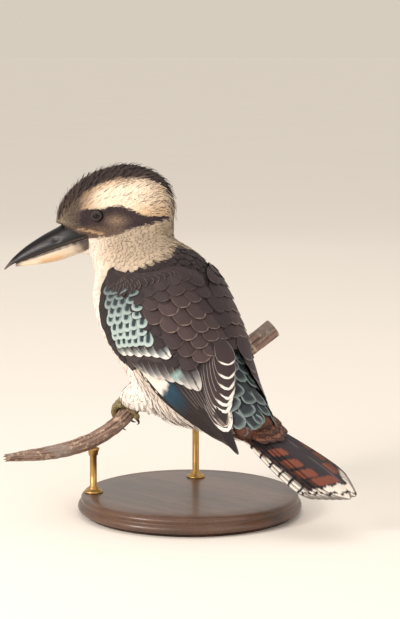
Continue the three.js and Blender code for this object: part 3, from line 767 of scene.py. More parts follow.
@dataclass(frozen=True)
class FeatherFinish(Finish):
    """A feather's finish: the colours come from the mesh, and the pattern from its vane map."""

    streak: str = "2f2724"
    rim: float = 0.25
    tip: float = 0.86
    softness: float = 0.12
    streak_width: float = 0.35
    streak_end: float = 0.9
    barbs: float = 22.0
    barb_depth: float = 0.16
    ragged: float = 0.22
    gloss: float = 0.12

    def lay_out(self, net: Net, shader: Node) -> None:
        """Lays the pattern over the mesh's colours.

        Args:
            net: the material's nodes.
            shader: the material's shader.
        """
        base, mark = net.tint("base"), net.tint("mark")
        vane = net.fill(net.node("ShaderNodeGroup", node_tree=VANE_GROUP), {
            "Vane": net.map("vane"), "Base": base.outputs["Color"], "Mark": mark.outputs["Color"],
            "Streak": rgba(self.streak), "Mark Share": mark.outputs["Alpha"],
            "Streak Share": base.outputs["Alpha"], "Rim": self.rim, "Tip": self.tip,
            "Softness": self.softness,
            "Streak Width": self.streak_width, "Streak End": self.streak_end, "Barbs": self.barbs,
            "Barb Depth": self.barb_depth, "Ragged": self.ragged,
        })
        net.fill(shader, {
            "Base Color": net.uneven(vane.outputs["Color"], net.spot(), 90.0, 0.35),
            "Specular IOR Level": self.gloss * 2, "Sheen Weight": self.gloss * 0.4, "Sheen Roughness": 0.45,
        })
        net.bump(shader, vane.outputs["Height"], 0.35, 0.0002)


@dataclass(frozen=True)
class SkinFinish(Finish):
    """The down and skin under the feathers, with the same markings as they have."""

    def lay_out(self, net: Net, shader: Node) -> None:
        """Lays soft patches and a fine grain over the mesh's colours.

        Args:
            net: the material's nodes.
            shader: the material's shader.
        """
        spot = net.spot()
        net.fill(shader, {"Base Color": net.uneven(net.tint("base").outputs["Color"], spot, 320.0, 0.6)})
        net.bump(shader, net.noise(spot, 900.0), 0.5, 0.0006)


@dataclass(frozen=True)
class HornFinish(Finish):
    """Bill, claws and lids: the mesh's own colour with fine lines along it and a thin gloss."""

    lines: float = 40.0
    specular: float = 0.3
    coat: float = 0.3
    amount: float = 0.3

    def lay_out(self, net: Net, shader: Node) -> None:
        """Lays the lines and the gloss over the mesh's colours.

        Args:
            net: the material's nodes.
            shader: the material's shader.
        """
        along = net.spread(net.map("around"), (self.lines, 3.0, 1.0))
        grain = net.noise(along, 1.0, 6.0)
        net.fill(shader, {
            "Base Color": net.uneven(net.tint("base").outputs["Color"], along, 1.0, self.amount * 2),
            "Roughness": net.plus(self.roughness - 0.08, net.times(grain, 0.18)),
            "Specular IOR Level": self.specular, "Coat Weight": self.coat, "Coat Roughness": 0.2,
        })
        net.bump(shader, grain, 0.25, 0.0003)


@dataclass(frozen=True)
class EyeFinish(Finish):
    """The eye: dark brown iris round a black pupil, under a clear wet coat."""

    iris: str = "24160f"
    black: tuple = (0.002, 0.002, 0.002, 1)
    dark: tuple = (0.01, 0.008, 0.007, 1)

    def lay_out(self, net: Net, shader: Node) -> None:
        """Lays the iris, the pupil and the dark ring along the eye's map.

        Args:
            net: the material's nodes.
            shader: the material's shader.
        """
        around = net.map("around")
        inwards = net.split(around)[1]
        rays = net.noise(net.spread(around, (60.0, 3.0, 1.0)), 1.0, 6.0)
        brown = net.blend(rays, (*(colour(self.iris) * 0.5), 1), (*(colour(self.iris) * 1.7), 1))
        tint = net.blend(net.rise(inwards, 0.875, 0.895), brown, self.black)
        net.fill(shader, {
            "Base Color": net.blend(net.rise(inwards, 0.83, 0.79), tint, self.dark),
            "Specular IOR Level": 0.05, "Coat Weight": 0.9, "Coat IOR": 1.3, "Coat Roughness": 0.02,
        })


@dataclass(frozen=True)
class BarkFinish(Finish):
    """Weathered bark: long fissures, pale ridges and grey patches; the cut ends show their rings."""

    wood: bool = False

    def lay_out(self, net: Net, shader: Node) -> None:
        """Lays the bark, or the cut wood's rings.

        Args:
            net: the material's nodes.
            shader: the material's shader.
        """
        spot = net.spot()
        if self.wood:
            rings = net.fill(
                net.node("ShaderNodeTexWave", wave_type="RINGS", rings_direction="SPHERICAL"),
                {
                    "Vector": net.spread(spot, (1, 1, 1), (0.0, -0.11, -0.146)), "Scale": 260.0,
                    "Distortion": 2.5,
                },
            )
            height = rings.outputs["Fac"]
            tint = net.blend(height, rgba("a9825a"), rgba("dcc19a"))
        else:
            along = net.spread(net.map("around"), (9.0, 9.0, 1.0))
            fissures = net.noise(net.spread(along, (1.6, 0.55, 1)), 1.6, 8.0)
            flakes = net.noise(spot, 260.0, 6.0)
            tint = net.blend(net.rise(fissures, 0.36, 0.56), rgba("5a4537"), rgba("93786a"))
            tint = net.blend(net.rise(flakes, 0.5, 0.7), tint, rgba("c0a78f"))
            grey = net.times(net.rise(net.noise(spot, 38.0, 3.0), 0.5, 0.62), 0.6)
            tint = net.blend(grey, tint, rgba("8b8078"))
            height = net.plus(net.times(fissures, 1.4), net.times(flakes, 0.6))
        net.fill(shader, {"Base Color": tint})
        net.bump(shader, height, 0.8, 0.0009)


@dataclass(frozen=True)
class FootFinish(Finish):
    """The scaled skin of the toes: olive yellow with darker creases."""

    def lay_out(self, net: Net, shader: Node) -> None:
        """Lays the scales over the mesh's colours.

        Args:
            net: the material's nodes.
            shader: the material's shader.
        """
        cells = net.node("ShaderNodeTexVoronoi", feature="DISTANCE_TO_EDGE")
        net.fill(cells, {"Vector": net.spot(), "Scale": 750.0})
        plates = net.rise(cells.outputs["Distance"], 0.02, 0.16)
        tint = net.blend(plates, rgba("4d4427"), net.tint("base").outputs["Color"])
        net.fill(shader, {"Base Color": net.uneven(tint, net.spot(), 140.0, 0.7)})
        net.bump(shader, plates, 0.5, 0.0003)


@dataclass(frozen=True)
class WoodFinish(Finish):
    """Turned and waxed dark wood."""

    def lay_out(self, net: Net, shader: Node) -> None:
        """Lays grain and pores under a thin coat of wax.

        Args:
            net: the material's nodes.
            shader: the material's shader.
        """
        spot = net.spot()
        grain = net.noise(net.spread(spot, (3.0, 34.0, 34.0)), 1.0, 6.0)
        pores = net.noise(net.spread(spot, (60.0, 900.0, 900.0)), 1.0, 3.0)
        tint = net.blend(net.rise(grain, 0.34, 0.66), rgba("3a2519"), rgba("5a3b28"))
        net.fill(shader, {
            "Base Color": net.blend(net.rise(pores, 0.58, 0.72), tint, rgba("24150d")),
            "Roughness": net.plus(self.roughness, net.times(pores, 0.15)),
            "Coat Weight": 0.35, "Coat Roughness": 0.18,
        })
        net.bump(shader, pores, 0.15, 0.0002)


@dataclass(frozen=True)
class BrassFinish(Finish):
    """Drawn brass with faint tarnish."""

    def lay_out(self, net: Net, shader: Node) -> None:
        """Lays the tarnish and the fine upright streaks.

        Args:
            net: the material's nodes.
            shader: the material's shader.
        """
        streaks = net.noise(net.spread(net.spot(), (1800.0, 1800.0, 30.0)), 1.0, 3.0)
        net.fill(shader, {
            "Base Color": net.uneven(rgba("b8935a"), net.spot(), 220.0, 0.6), "Metallic": 1.0,
            "Roughness": net.plus(self.roughness, net.times(streaks, 0.25)),
        })
        net.bump(shader, streaks, 0.1, 0.0001)


@dataclass(frozen=True)
class FloorFinish(Finish):
    """A plain pale studio floor."""

    def lay_out(self, net: Net, shader: Node) -> None:
        """Lays a pale, slightly uneven tint without gloss."""
        tint = net.uneven(rgba("f0e9e0"), net.spot(), 3.0, 0.03)
        net.fill(shader, {"Base Color": tint, "Specular IOR Level": 0.0})


@dataclass
class Vanes:
    """Feathers gathered to make one mesh. Each is a thin closed blade that is thickest along its shaft.

    The crowding sets how much closer the rows of points stand towards the tips.
    """

    name: str
    rows: int = 5
    across: int = 3
    crowding: float = 1.35
    parts: list[dict[str, Array]] = field(default_factory=list)

    @property
    def stations(self) -> Array:
        """The rows' places along a feather, from 0 at its root to 1 at its tip."""
        return 1 - (1 - np.linspace(0, 1, self.rows)) ** self.crowding

    def add(
        self, path: Array, out: Array, width: Array, base: Array, mark: Array, root_map: Array,
        thickness: float = 0.35, camber: float = 0.2, tilt: float = 0.0, flip: float = 1.0,
    ) -> None:
        """Adds feathers of one kind.

        Args:
            path: the shafts, as feathers by rows by x, y and z, in millimetres.
            out: the way out of the surface at each of those points.
            width: the full width at each.
            base: colour and streak share, as feathers by rows (or 1) by 4.
            mark: the rim's and tip's colour and share, in the same form.
            root_map: where each feather's root lies on the skin's unwrap.
            thickness: along the shaft.
            camber: how far the edges drop, as a share of half the width.
            tilt: how far one edge rises, as a share of half the width.
            flip: -1 turns the vane map so that u still starts at the leading edge.
        """
        way = unit(np.gradient(path, self.stations, axis=1))
        side = unit(np.cross(out, way))
        out = np.cross(way, side)
        c = np.concatenate([np.linspace(1, -1, self.across), np.linspace(-1, 1, self.across)[1:-1]])
        face = np.concatenate([np.ones(self.across), -np.ones(self.across - 2)])
        half = width[..., None] / 2
        bulge = face * np.sqrt(1 - c * c) * thickness / 2
        rise = -camber * c * c * half + tilt * c * half + bulge
        points = path[:, :, None] + side[:, :, None] * (half * c)[..., None]
        points = points + out[:, :, None] * rise[..., None]
        shape = points.shape[:3]
        t = np.broadcast_to(self.stations[:, None], shape)
        vane = np.stack([np.broadcast_to((1 + flip * c) / 2, shape), t], -1)
        bake = root_map[:, None, None] + (vane - 0.5) * PATCH
        whole = (*shape, 4)
        self.parts.append({
            "points": points.reshape(-1, 3), "vane": vane.reshape(-1, 2), "bake": bake.reshape(-1, 2),
            "base": np.broadcast_to(base[:, :, None], whole).reshape(-1, 4),
            "mark": np.broadcast_to(mark[:, :, None], whole).reshape(-1, 4),
        })

    def build(self, finish: Finish | Material, slot: str, replaced: Sequence[str] = ()) -> None:
        """Joins the feathers in one mesh.

        Args:
            finish: the feathers' finish.
            slot: not used.
            replaced: the nodes that the piece stands for.
        """
        data = {key: np.concatenate([part[key] for part in self.parts]) for key in self.parts[0]}
        ring = 2 * self.across - 2
        count = len(data["points"]) // (ring * self.rows)
        number = np.arange(count * self.rows * ring).reshape(count, self.rows, ring)
        turned = np.roll(number, -1, axis=2)
        quads = np.stack([number[:, :-1], turned[:, :-1], turned[:, 1:], number[:, 1:]], -1).reshape(-1, 4)
        caps = np.concatenate([number[:, 0, ::-1], number[:, -1]])
        corners = np.concatenate([quads.ravel(), caps.ravel()])
        starts = np.concatenate([np.arange(len(quads)) * 4, quads.size + np.arange(len(caps)) * ring])
        mesh = bpy.data.meshes.new(self.name)
        mesh.vertices.add(len(data["points"]))
        mesh.vertices.foreach_set("co", (data["points"] * MM).astype(np.float32).ravel())
        mesh.loops.add(len(corners))
        mesh.loops.foreach_set("vertex_index", corners.astype(np.int32))
        mesh.polygons.add(len(starts))
        mesh.polygons.foreach_set("loop_start", starts.astype(np.int32))
        mesh.update(calc_edges=True)
        mesh.polygons.foreach_set("use_smooth", np.ones(len(starts), bool))
        ends = np.empty(len(mesh.edges) * 2, int)
        mesh.edges.foreach_get("vertices", ends)
        place = ends.reshape(-1, 2) % ring
        border = (place[:, 0] == place[:, 1]) & np.isin(place[:, 0], (0, self.across - 1))
        mesh.edges.foreach_set("use_edge_sharp", border)
        for label, key in (("vane", "vane"), ("OFBake", "bake")):
            layer = mesh.uv_layers.new(name=label)
            layer.data.foreach_set("uv", data[key][corners].astype(np.float32).ravel())
        piece = bpy.data.objects.new(self.name, mesh)
        bpy.context.scene.collection.objects.link(piece)
        stain(piece, "base", data["base"])
        stain(piece, "mark", data["mark"])
        dress(piece, finish, replaced)


def dress(piece: Piece, finish: Finish | Material, replaced: Sequence[str] = ()) -> None:
    """Gives a piece its finish, and sets it on the frame.

    Args:
        piece: the mesh object.
        finish: its finish, or a material that is already made.
        replaced: the nodes that it stands for.
    """
    made = finish if isinstance(finish, Material) else finish.material()
    if piece.data.materials:
        piece.data.materials[0] = made
    else:
        piece.data.materials.append(made)
    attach(piece, BODY)
    if replaced:
        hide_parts(*replaced)
    log.info("%s: %s faces", piece.name, len(piece.data.polygons))


@dataclass
class Marks:
    """The bird's markings at a set of places: colours, and how strongly streaks and rims show."""

    base: Array
    mark: Array
    streak: Array
    rim: Array

    def lay(self, tint: str, share: Array) -> None:
        """Lays a colour over the base by a share at each place."""
        self.base = over(self.base, tint, share)

    def edge(self, tint: str, share: Array, rim: float) -> None:
        """Lays a rim's colour and strength by a share at each place."""
        self.mark = over(self.mark, tint, share)
        self.rim = mix(self.rim, rim, share)

    def line(self, streak: Num, share: Array) -> None:
        """Lays the streaks' strength by a share at each place."""
        self.streak = mix(self.streak, streak, share)

    def four(self) -> tuple[Array, Array]:
        """Gives base and mark as rows of four numbers, with one row step for each feather.

        Returns:
            Base and mark.
        """
        base = np.concatenate([self.base, self.streak[:, None]], 1)
        mark = np.concatenate([self.mark, self.rim[:, None]], 1)
        return base[:, None], mark[:, None]


@dataclass(frozen=True)
class Plumage:
    """Where the markings of head and body lie, and which way the feathers point."""

    cap_low: tuple = (
        (-70, 5), (-63, 14), (-53, 24), (-40, 29.5), (-18, 29), (-5, 25), (14, 14), (22, 6), (31, -5),
    )
    mask_top: tuple = (
        (-62, -1.2), (-51, -2.2), (-40, -1), (-30, 4), (-21, 6.8), (-13, 6.6), (-8, 4.4), (2, 3.6), (9, 4),
        (15, 1),
    )
    mask_low: tuple = (
        (-62, -2.6), (-55, -6), (-44, -9), (-31, -12), (-21, -16.5), (-8, -20), (0, -21), (20, -22),
    )

    def border(self, rows: tuple, ahead: Array) -> Array:
        """Reads a border's height over the eyes at distances ahead of them."""
        places, heights = zip(*rows)
        return np.interp(ahead, places, heights)

    def body_place(self, points: Array) -> tuple[Array, Array]:
        """Finds how far along the body points lie, and their angle from the middle of the back.

        Args:
            points: places on the body.

        Returns:
            The place counted along the rows, and the angle in degrees.
        """
        places = np.linspace(0, len(BODY_ROWS) - 1, 81)
        centres = TRUNK.section(places)[0]
        near = np.argmin(((points[:, None, ::2] - centres[None, :, ::2]) ** 2).sum(-1), axis=1)
        place = places[near]
        centre, back, depth, width = TRUNK.section(place)
        high = ((points - centre) * back).sum(-1)
        high = high / (depth + TRUNK.below(place) * (high < 0))
        return place, np.degrees(np.arctan2(points[:, 1] / width, high))

    def of_head(self, local: Array) -> Array:
        """Says how far places belong to the head, from their local coordinates."""
        return step(-46, -34, local[:, 2]) * step(-69, -60, local[:, 0])

    def lie(self, points: Array) -> Array:
        """Finds the way that feathers point: back from the bill over the head, and down to the tail.

        Args:
            points: the feathers' roots.

        Returns:
            The way at each.
        """
        local = HEAD.local(points)
        fan = unit(local - np.array(BILL_ROOT)) @ HEAD.axes
        place, angle = self.body_place(points)
        centres = [TRUNK.section(place + shift)[0] for shift in (-0.5, 0.5)]
        down = unit(centres[1] - centres[0])
        hang = 0.5 * step(4.4, 5.6, place) * step(100, 125, np.abs(angle))
        down = unit(mix(down, -UP, hang[:, None]))
        share = self.of_head(local) * (1 - 0.75 * step(-44, -66, local[:, 0]))
        return unit(mix(down, fan, share[:, None]))

    def marks(self, points: Array) -> Marks:
        """Finds the markings at places on head, neck and body.

        Args:
            points: the places.

        Returns:
            Their markings.
        """
        n = len(points)
        made = Marks(evenly("f9e9df", n), evenly("fff7f0", n), np.zeros(n), np.full(n, 0.5))
        self.mark_body(made, points)
        self.mark_head(made, points)
        self.mark_back(made, points)
        return made

    def mark_body(self, made: Marks, points: Array) -> None:
        """Lays the markings of neck and body.

        Args:
            made: the markings so far.
            points: places on the bird, in millimetres.
        """
        place, angle = self.body_place(points)
        away = np.abs(angle)
        wave = ripple(points, 9.0)
        back_head = step(124, 76, away) * step(200, 222, points[:, 2])
        made.lay("e0c8ac", step(140, 95, away) * step(196, 212, points[:, 2]) * 0.7)
        made.lay("a5937c", back_head * 0.8)
        made.edge("8d7d6a", step(135, 80, away) * step(200, 216, points[:, 2]), 0.65)
        low = step(3.0, 6.0, place)
        made.lay("f4ebe3", low * step(90, 120, away))
        made.edge("d5c8ba", step(0.25, 0.8, wave) * step(2.0, 3.0, place) * 0.8, 0.45)
        made.lay("e0cfbd", step(0.2, 0.9, ripple(points, 21.0, 0.4)) * step(1.5, 3.0, place) * 0.3)

    def mantle_top(self, away: Array) -> Array:
        """Gives the height at which the dark back starts, by the angle from its middle."""
        return 200 + 29 * (1 - np.clip(away / 105, 0, 1)) ** 1.1

    def mark_back(self, made: Marks, points: Array) -> None:
        """Lays the markings of mantle, rump, flanks and the tail's base.

        Args:
            made: the markings so far.
            points: places on the bird, in millimetres.
        """
        place, angle = self.body_place(points)
        away = np.abs(angle)
        wave = ripple(points, 9.0)
        close_by = step(11, 0, points[:, 2] - self.mantle_top(away)) * step(128, 105, away)
        near = close_by * step(8.0, 6.0, place)
        made.lay("c2ad93", near * 0.6)
        mantle = step(-1.5, 1.5, self.mantle_top(away) - points[:, 2] + 1.6 * wave) * step(104, 96, away)
        mantle = mantle * step(7.6, 6.6, place)
        made.lay("2e2526", mantle)
        made.edge("574a47", mantle, 0.35)
        made.line(0.0, mantle)
        rump = step(4.9, 5.7, place + 0.15 * wave) * step(92, 82, away)
        made.lay("30363a", rump)
        made.edge("83928f", rump, 0.9)
        rufous = step(9.25, 9.45, place + 0.6 * step(80, 92, away)) * step(142, 134, away)
        made.lay("5d3a2d", rufous)
        made.rim = mix(made.rim, 0.0, rufous)

    def mark_head(self, made: Marks, points: Array) -> None:
        """Lays the markings of the head: cap, brow, mask, ear patch, cheek and forehead.

        Args:
            made: the markings so far.
            points: places on the bird, in millimetres.
        """
        ahead, _, up = HEAD.local(points).T
        wave = ripple(points, 4.5, 1.3)
        on_head = step(-37, -33, up) * step(-70, -66, ahead)
        cap, top, low = (self.border(rows, ahead) for rows in (self.cap_low, self.mask_top, self.mask_low))
        brow = on_head * step(-1.2, 1.2, up - top) * (1 - step(10, 17, ahead))
        made.lay("f7e1c6", brow)
        made.edge("fff4e4", brow, 0.6)
        near_cap = step(9, 1, cap - up)
        made.lay("c49a6e", brow * near_cap * step(-60, -10, ahead) * 0.8)
        made.lay("a9855f", brow * step(-4, 8, ahead) * 0.85)
        made.lay("d2a26c", brow * step(-24, -42, ahead) * step(14, 2, up - top) * 0.75)
        made.lay("b99873", brow * step(-34, -56, ahead) * 0.6)
        made.lay("75624f", brow * step(-54, -66, ahead) * 0.7)
        streaky = 0.07 + 0.35 * near_cap + 0.4 * step(-2, 10, ahead) + 0.4 * step(-38, -60, ahead)
        made.line(1.6 * streaky, brow)
        front = on_head * step(7, 15, ahead) * step(-21, -13, up)
        made.lay("5b4c42", front)
        made.lay("8f7f69", front * step(18, 32, ahead - 0.35 * (up + 4)) * 0.85)
        made.edge("a08f76", front, 0.55)
        made.line(0.75, front)
        seam = np.abs(up - self.border(BILL_EDGE, ahead))
        made.lay("3a3130", on_head * step(2.6, 0.8, seam) * step(4, 10, ahead) * 0.8)
        dark = on_head * step(-1.4, 1.4, up - cap + 0.8 * wave)
        made.lay("3c302e", dark)
        made.lay("574539", dark * step(12, 24, ahead) * 0.6)
        made.edge("5c4d46", dark, 0.3)
        made.line(0.5, dark)
        mask = on_head * step(-0.9, 0.9, top - up + 0.4 * wave) * step(-1.0, 1.0, up - low + 0.5 * wave)
        mask = mask * (1 - step(12, 17, ahead)) * step(-63, -59, ahead)
        made.lay("372b2e", mask)
        made.edge("443735", mask, 0.25)
        made.line(0.0, mask)
        made.lay("705a4a", mask * step(-8, -14, up) * step(-28, -20, ahead) * 0.7)
        ear = mask * np.exp(-(((ahead + 17) / 9) ** 2) - (((up + 6) / 4.5) ** 2))
        made.lay("98806a", ear * 0.8)
        stripe = np.abs(up + 16.3 - 0.215 * ahead)
        line = on_head * step(1.6, 0.6, stripe) * step(-9, -4, ahead) * step(18, 13, ahead)
        made.lay("b59674", line * 0.85)
        cheek = on_head * step(1, -2, up - low)
        made.line(0.1 * step(0.1, 0.6, wave), cheek)
        nape = step(-46, -36, up) * step(-34, -62, ahead) * step(0, -6, up - low)
        made.lay("a5937c", nape * 0.75)
        made.edge("8d7d6a", step(-46, -36, up) * step(-22, -46, ahead) * step(0, -4, up - low), 0.65)


PLUMAGE = Plumage()


# The feather tracts, those of the head first, and what stays bare.
Region = Enum(
    "Region",
    "FACE MASK CROWN CREST BROW CHEEK NAPE NECK BREAST BELLY FLUFF MANTLE RUMP TAIL_BASE THIGH HIDDEN",
)


@dataclass(frozen=True)
class Leg:
    """One leg: its side, where its foot holds the branch as a share of its length, and its hip."""

    side: Side
    hold: float
    hip: tuple


LEGS = (Leg(Side.LEFT, 0.505, (-24, -20, 103)), Leg(Side.RIGHT, 0.69, (-27, 27, 119)))
THIGH_RADIUS, ANKLE_RADIUS, TARSUS_RISE = 16.0, 6.4, 10.0

# The branch's axis and radius, from its broken end on the left to its cut end on the right.
BRANCH_ROWS = (
    (-88.5, -127, 54.3, 3.2), (-84.5, -113, 54, 4.7), (-78, -96.5, 54, 5.5), (-70, -77, 56, 6.2),
    (-62, -55, 61.5, 6.6), (-54, -33, 74, 6.9), (-52.5, -12, 88.5, 7), (-52, 10, 92, 7.2), (-45, 33, 98, 7.5),
    (-29, 58, 109, 7.8), (-14, 84, 126, 8.1), (0, 110, 146, 8.3),
)


def branch_section(share: Num) -> tuple[Array, Array, Array]:
    """Finds the branch's axis point, its way and its radius at shares of its length.

    Args:
        share: the place along the length, from 0 to 1.

    Returns:
        The point, the way and the radius.
    """
    row = smooth(BRANCH_ROWS, share)
    ahead = smooth(BRANCH_ROWS, np.minimum(1, np.asarray(share) + 0.02))
    behind = smooth(BRANCH_ROWS, np.maximum(0, np.asarray(share) - 0.02))
    return row[..., :3], unit(ahead[..., :3] - behind[..., :3]), row[..., 3]


@dataclass
class Grip:
    """The directions at one foot: along the branch, forwards over it, and away from it."""

    leg: Leg
    centre: Array = field(init=False)
    way: Array = field(init=False)
    radius: float = field(init=False)

    def __post_init__(self) -> None:
        """Reads the branch where the foot holds it."""
        self.centre, self.way, self.radius = branch_section(self.leg.hold)

    def point(self, angle: Num, along: Num, height: Num) -> Array:
        """Finds a point on a ring round the branch.

        Args:
            angle: degrees from the top, positive backwards.
            along: the place along the branch from the foot's middle.
            height: the distance from the branch's axis.

        Returns:
            The point.
        """
        forwards = unit(np.cross(UP, self.way))
        away = unit(np.cross(self.way, forwards))
        turn = np.asarray(angle, float) * RAD
        parts = (np.cos(turn) * height, np.sin(turn) * height, along)
        cos, sin, along = (np.asarray(part, float)[..., None] for part in parts)
        return self.centre + self.way * along + away * cos - forwards * sin

    @property
    def ankle(self) -> Array:
        """The joint over the foot."""
        return self.point(12, 0, self.radius + TARSUS_RISE)


@dataclass(frozen=True)
class TailShape:
    """Where the tail starts, the way it points, and how far it is twisted, in millimetres and degrees."""

    root: tuple = (40.0, -1.0, 104.0)
    turn: float = 9.0
    drop: float = 29.5
    twist: float = 11.0
    length: float = 142.0

    @property
    def axes(self) -> tuple[Array, Array, Array]:
        """The way along the tail, its right side and out of its upper surface.

        Returns:
            The three directions.
        """
        turn, drop, twist = self.turn * RAD, self.drop * RAD, self.twist * RAD
        flat = math.cos(drop)
        way = np.array([flat * math.cos(turn), flat * math.sin(turn), -math.sin(drop)])
        side = np.array([-math.sin(turn), math.cos(turn), 0.0])
        out = np.cross(way, side)
        cos, sin = math.cos(twist), math.sin(twist)
        return way, side * cos + out * sin, out * cos - side * sin


TAIL = TailShape()


@dataclass
class Skin:
    """One closed skin over head, neck, body, thighs and tail root, under the feathers by their depth."""

    depth: float = 2.0
    face_depth: float = 1.2
    nape_depth: float = 2.9
    voxel: float = 1.7
    piece: Piece | None = None

    def build(self) -> None:
        """Lofts the body's parts, melts them into one skin, and sets the sockets and the bill's edges."""
        parts = [self.trunk(), self.neck(), self.head(), self.tail_root(), *map(self.thigh, LEGS)]
        self.piece = join(parts, "skin")
        apply(self.piece, "REMESH", mode="VOXEL", voxel_size=self.voxel * MM, use_smooth_shade=True)
        apply(self.piece, "SMOOTH", factor=0.5, iterations=8)
        move_points(self.piece, self.carve(places_of(self.piece)))
        apply(self.piece, "TRIANGULATE")
        self.unwrap()
        self.read()
        marks = PLUMAGE.marks(self.places)
        stain(self.piece, "base", np.concatenate([marks.base, np.ones((len(marks.base), 1))], 1))
        flesh = ("torso", "neck", "head", "thigh_left", "thigh_right")
        dress(self.piece, SkinFinish("skin_down", 0.85), flesh)

    def trunk(self) -> Piece:
        """Lofts the body from neck to tail.

        Returns:
            The part.
        """
        angles = np.linspace(0, 360, 48, endpoint=False)
        places = np.linspace(0, TORSO_END - 0.25, 40)
        return loft("trunk", [TRUNK.point(np.full(48, p), angles, -self.depth) for p in places])

    def neck(self) -> Piece:
        """Lofts the neck, which turns from the body's way to the head's.

        Returns:
            The part.
        """
        rings = []
        for share in np.linspace(0, 1, 14):
            z, x, y, length, width, turn = smooth(NECK_ROWS, share)
            way = np.array([-math.cos(turn * RAD), -math.sin(turn * RAD), 0])
            side = np.array([-math.sin(turn * RAD), math.cos(turn * RAD), 0])
            centre = np.array([x, y, z])
            rings.append(oval(centre, way * (length - self.depth), side * (width - self.depth), 40))
        return loft("neck_part", rings)

    def head(self) -> Piece:
        """Lofts the head from the bill's base to the nape.

        Returns:
            The part.
        """
        angles = np.linspace(0, 360, 44, endpoint=False)
        rings = []
        for share in np.linspace(0, 1, 34):
            depth = mix(self.face_depth, self.nape_depth, float(step(0.3, 0.8, np.array(share))))
            rings.append(HEAD.point(np.full(44, share), angles, -depth))
        return loft("head_part", rings)

    def tail_root(self) -> Piece:
        """Lofts the flesh that the tail's feathers grow from.

        Returns:
            The part.
        """
        way, side, out = TAIL.axes
        rings = []
        sections = ((0.02, 13, 9), (0.14, 13, 7.4), (0.24, 12, 6), (0.34, 10, 4.4), (0.42, 7, 2.6))
        for far, wide, high in sections:
            centre = np.array(TAIL.root) + way * far * TAIL.length - out * 2.6
            rings.append(oval(centre, side * wide, out * high, 24))
        return loft("tail_part", rings)

    def thigh(self, leg: Leg) -> Piece:
        """Lofts one thigh from the belly to the ankle.

        Args:
            leg: the leg's hip and foot.

        Returns:
            The part.
        """
        ankle = Grip(leg).ankle
        shares = np.linspace(0, 1, 9)[:, None]
        thin_out = (1, 1, 0.84, 0.6, ANKLE_RADIUS / THIGH_RADIUS)
        radii = np.interp(shares[:, 0], (0, 0.3, 0.6, 0.85, 1), thin_out)
        path = mix(np.array(leg.hip, float), ankle, shares)
        return loft("thigh_part", tube_rings(path, radii * THIGH_RADIUS - 1.2, 24))

    def carve(self, places: Array) -> Array:
        """Tucks the skin in at the bill's sides and round the eyes.

        Args:
            places: the skin's points.

        Returns:
            Their new places.
        """
        local = HEAD.local(places)
        ahead, left, up = local.T
        above = PLUMAGE.border(BILL_EDGE, ahead)
        below = PLUMAGE.border(CHIN_EDGE, ahead)
        bare = step(4, 9, ahead) * step(1.2, -0.8, up - above) * step(-1.5, 1.0, up - below)
        room = np.interp(ahead, (6, 20, 34), (15.5, 12.4, 9.8))
        wide = np.abs(left)
        tucked = mix(wide, np.minimum(wide, room), bare)
        slope = np.interp(ahead, (6, 20, 34), (17.4, 13.8, 8.6)) + 1.0 + 0.9 * np.maximum(up - above, 0)
        over = step(3, 9, ahead) * step(-1.0, 0.5, up - above)
        tucked = mix(tucked, np.minimum(tucked, slope), over)
        far = np.hypot(ahead - EYE_AHEAD, up - EYE_UP)
        socket = 2.4 * np.exp(-((far / 3.4) ** 4)) * step(10, 16, wide)
        brow = 0.9 * np.exp(-(((up - 7.5) / 3) ** 2) - (((ahead + 3) / 10) ** 2)) * step(10, 16, wide)
        near = step(-30, -20, up) * step(-30, -20, ahead)
        local[:, 0] = mix(ahead, np.minimum(ahead, 26.0), step(2.6, 0.6, up - above))
        local[:, 1] = np.sign(left) * (tucked + (brow - socket) * near)
        return np.array(HEAD.middle) + local @ HEAD.axes

    def unwrap(self) -> None:
        """Unwraps the skin along its own shape."""
        edit(self.piece)
        bpy.ops.mesh.select_all(action="SELECT")
        bpy.ops.uv.smart_project(angle_limit=70 * RAD, island_margin=0.002)
        bpy.ops.object.mode_set(mode="OBJECT")

    def read(self) -> None:
        """Reads the skin's points, triangles and map for the feathers' roots."""
        mesh = self.piece.data
        self.places = places_of(self.piece)
        corners = np.empty(len(mesh.loops), int)
        mesh.loops.foreach_get("vertex_index", corners)
        self.triangles = corners.reshape(-1, 3)
        flat = np.empty(len(mesh.loops) * 2)
        mesh.uv_layers[0].data.foreach_get("uv", flat)
        self.maps = flat.reshape(-1, 3, 2)
        self.corners = self.places[self.triangles]
        across = np.cross(self.corners[:, 1] - self.corners[:, 0], self.corners[:, 2] - self.corners[:, 0])
        self.areas = np.linalg.norm(across, axis=1) / 2
        normals = np.zeros_like(self.places)
        for k in range(3):
            np.add.at(normals, self.triangles[:, k], across)
        self.normals = unit(normals)
        self.tree = BVHTree.FromPolygons(self.places.tolist(), self.triangles.tolist())

    def nearest(self, points: Array) -> tuple[Array, Array, Array]:
        """Finds the nearest places on the skin.

        Args:
            points: any points.

        Returns:
            The places, the way out there, and their places on the map.
        """
        hits = [self.tree.find_nearest(Vector(p)) for p in points.reshape(-1, 3)]
        places = np.array([hit[0] for hit in hits])
        face = np.array([hit[2] for hit in hits])
        return self.at(face, places)

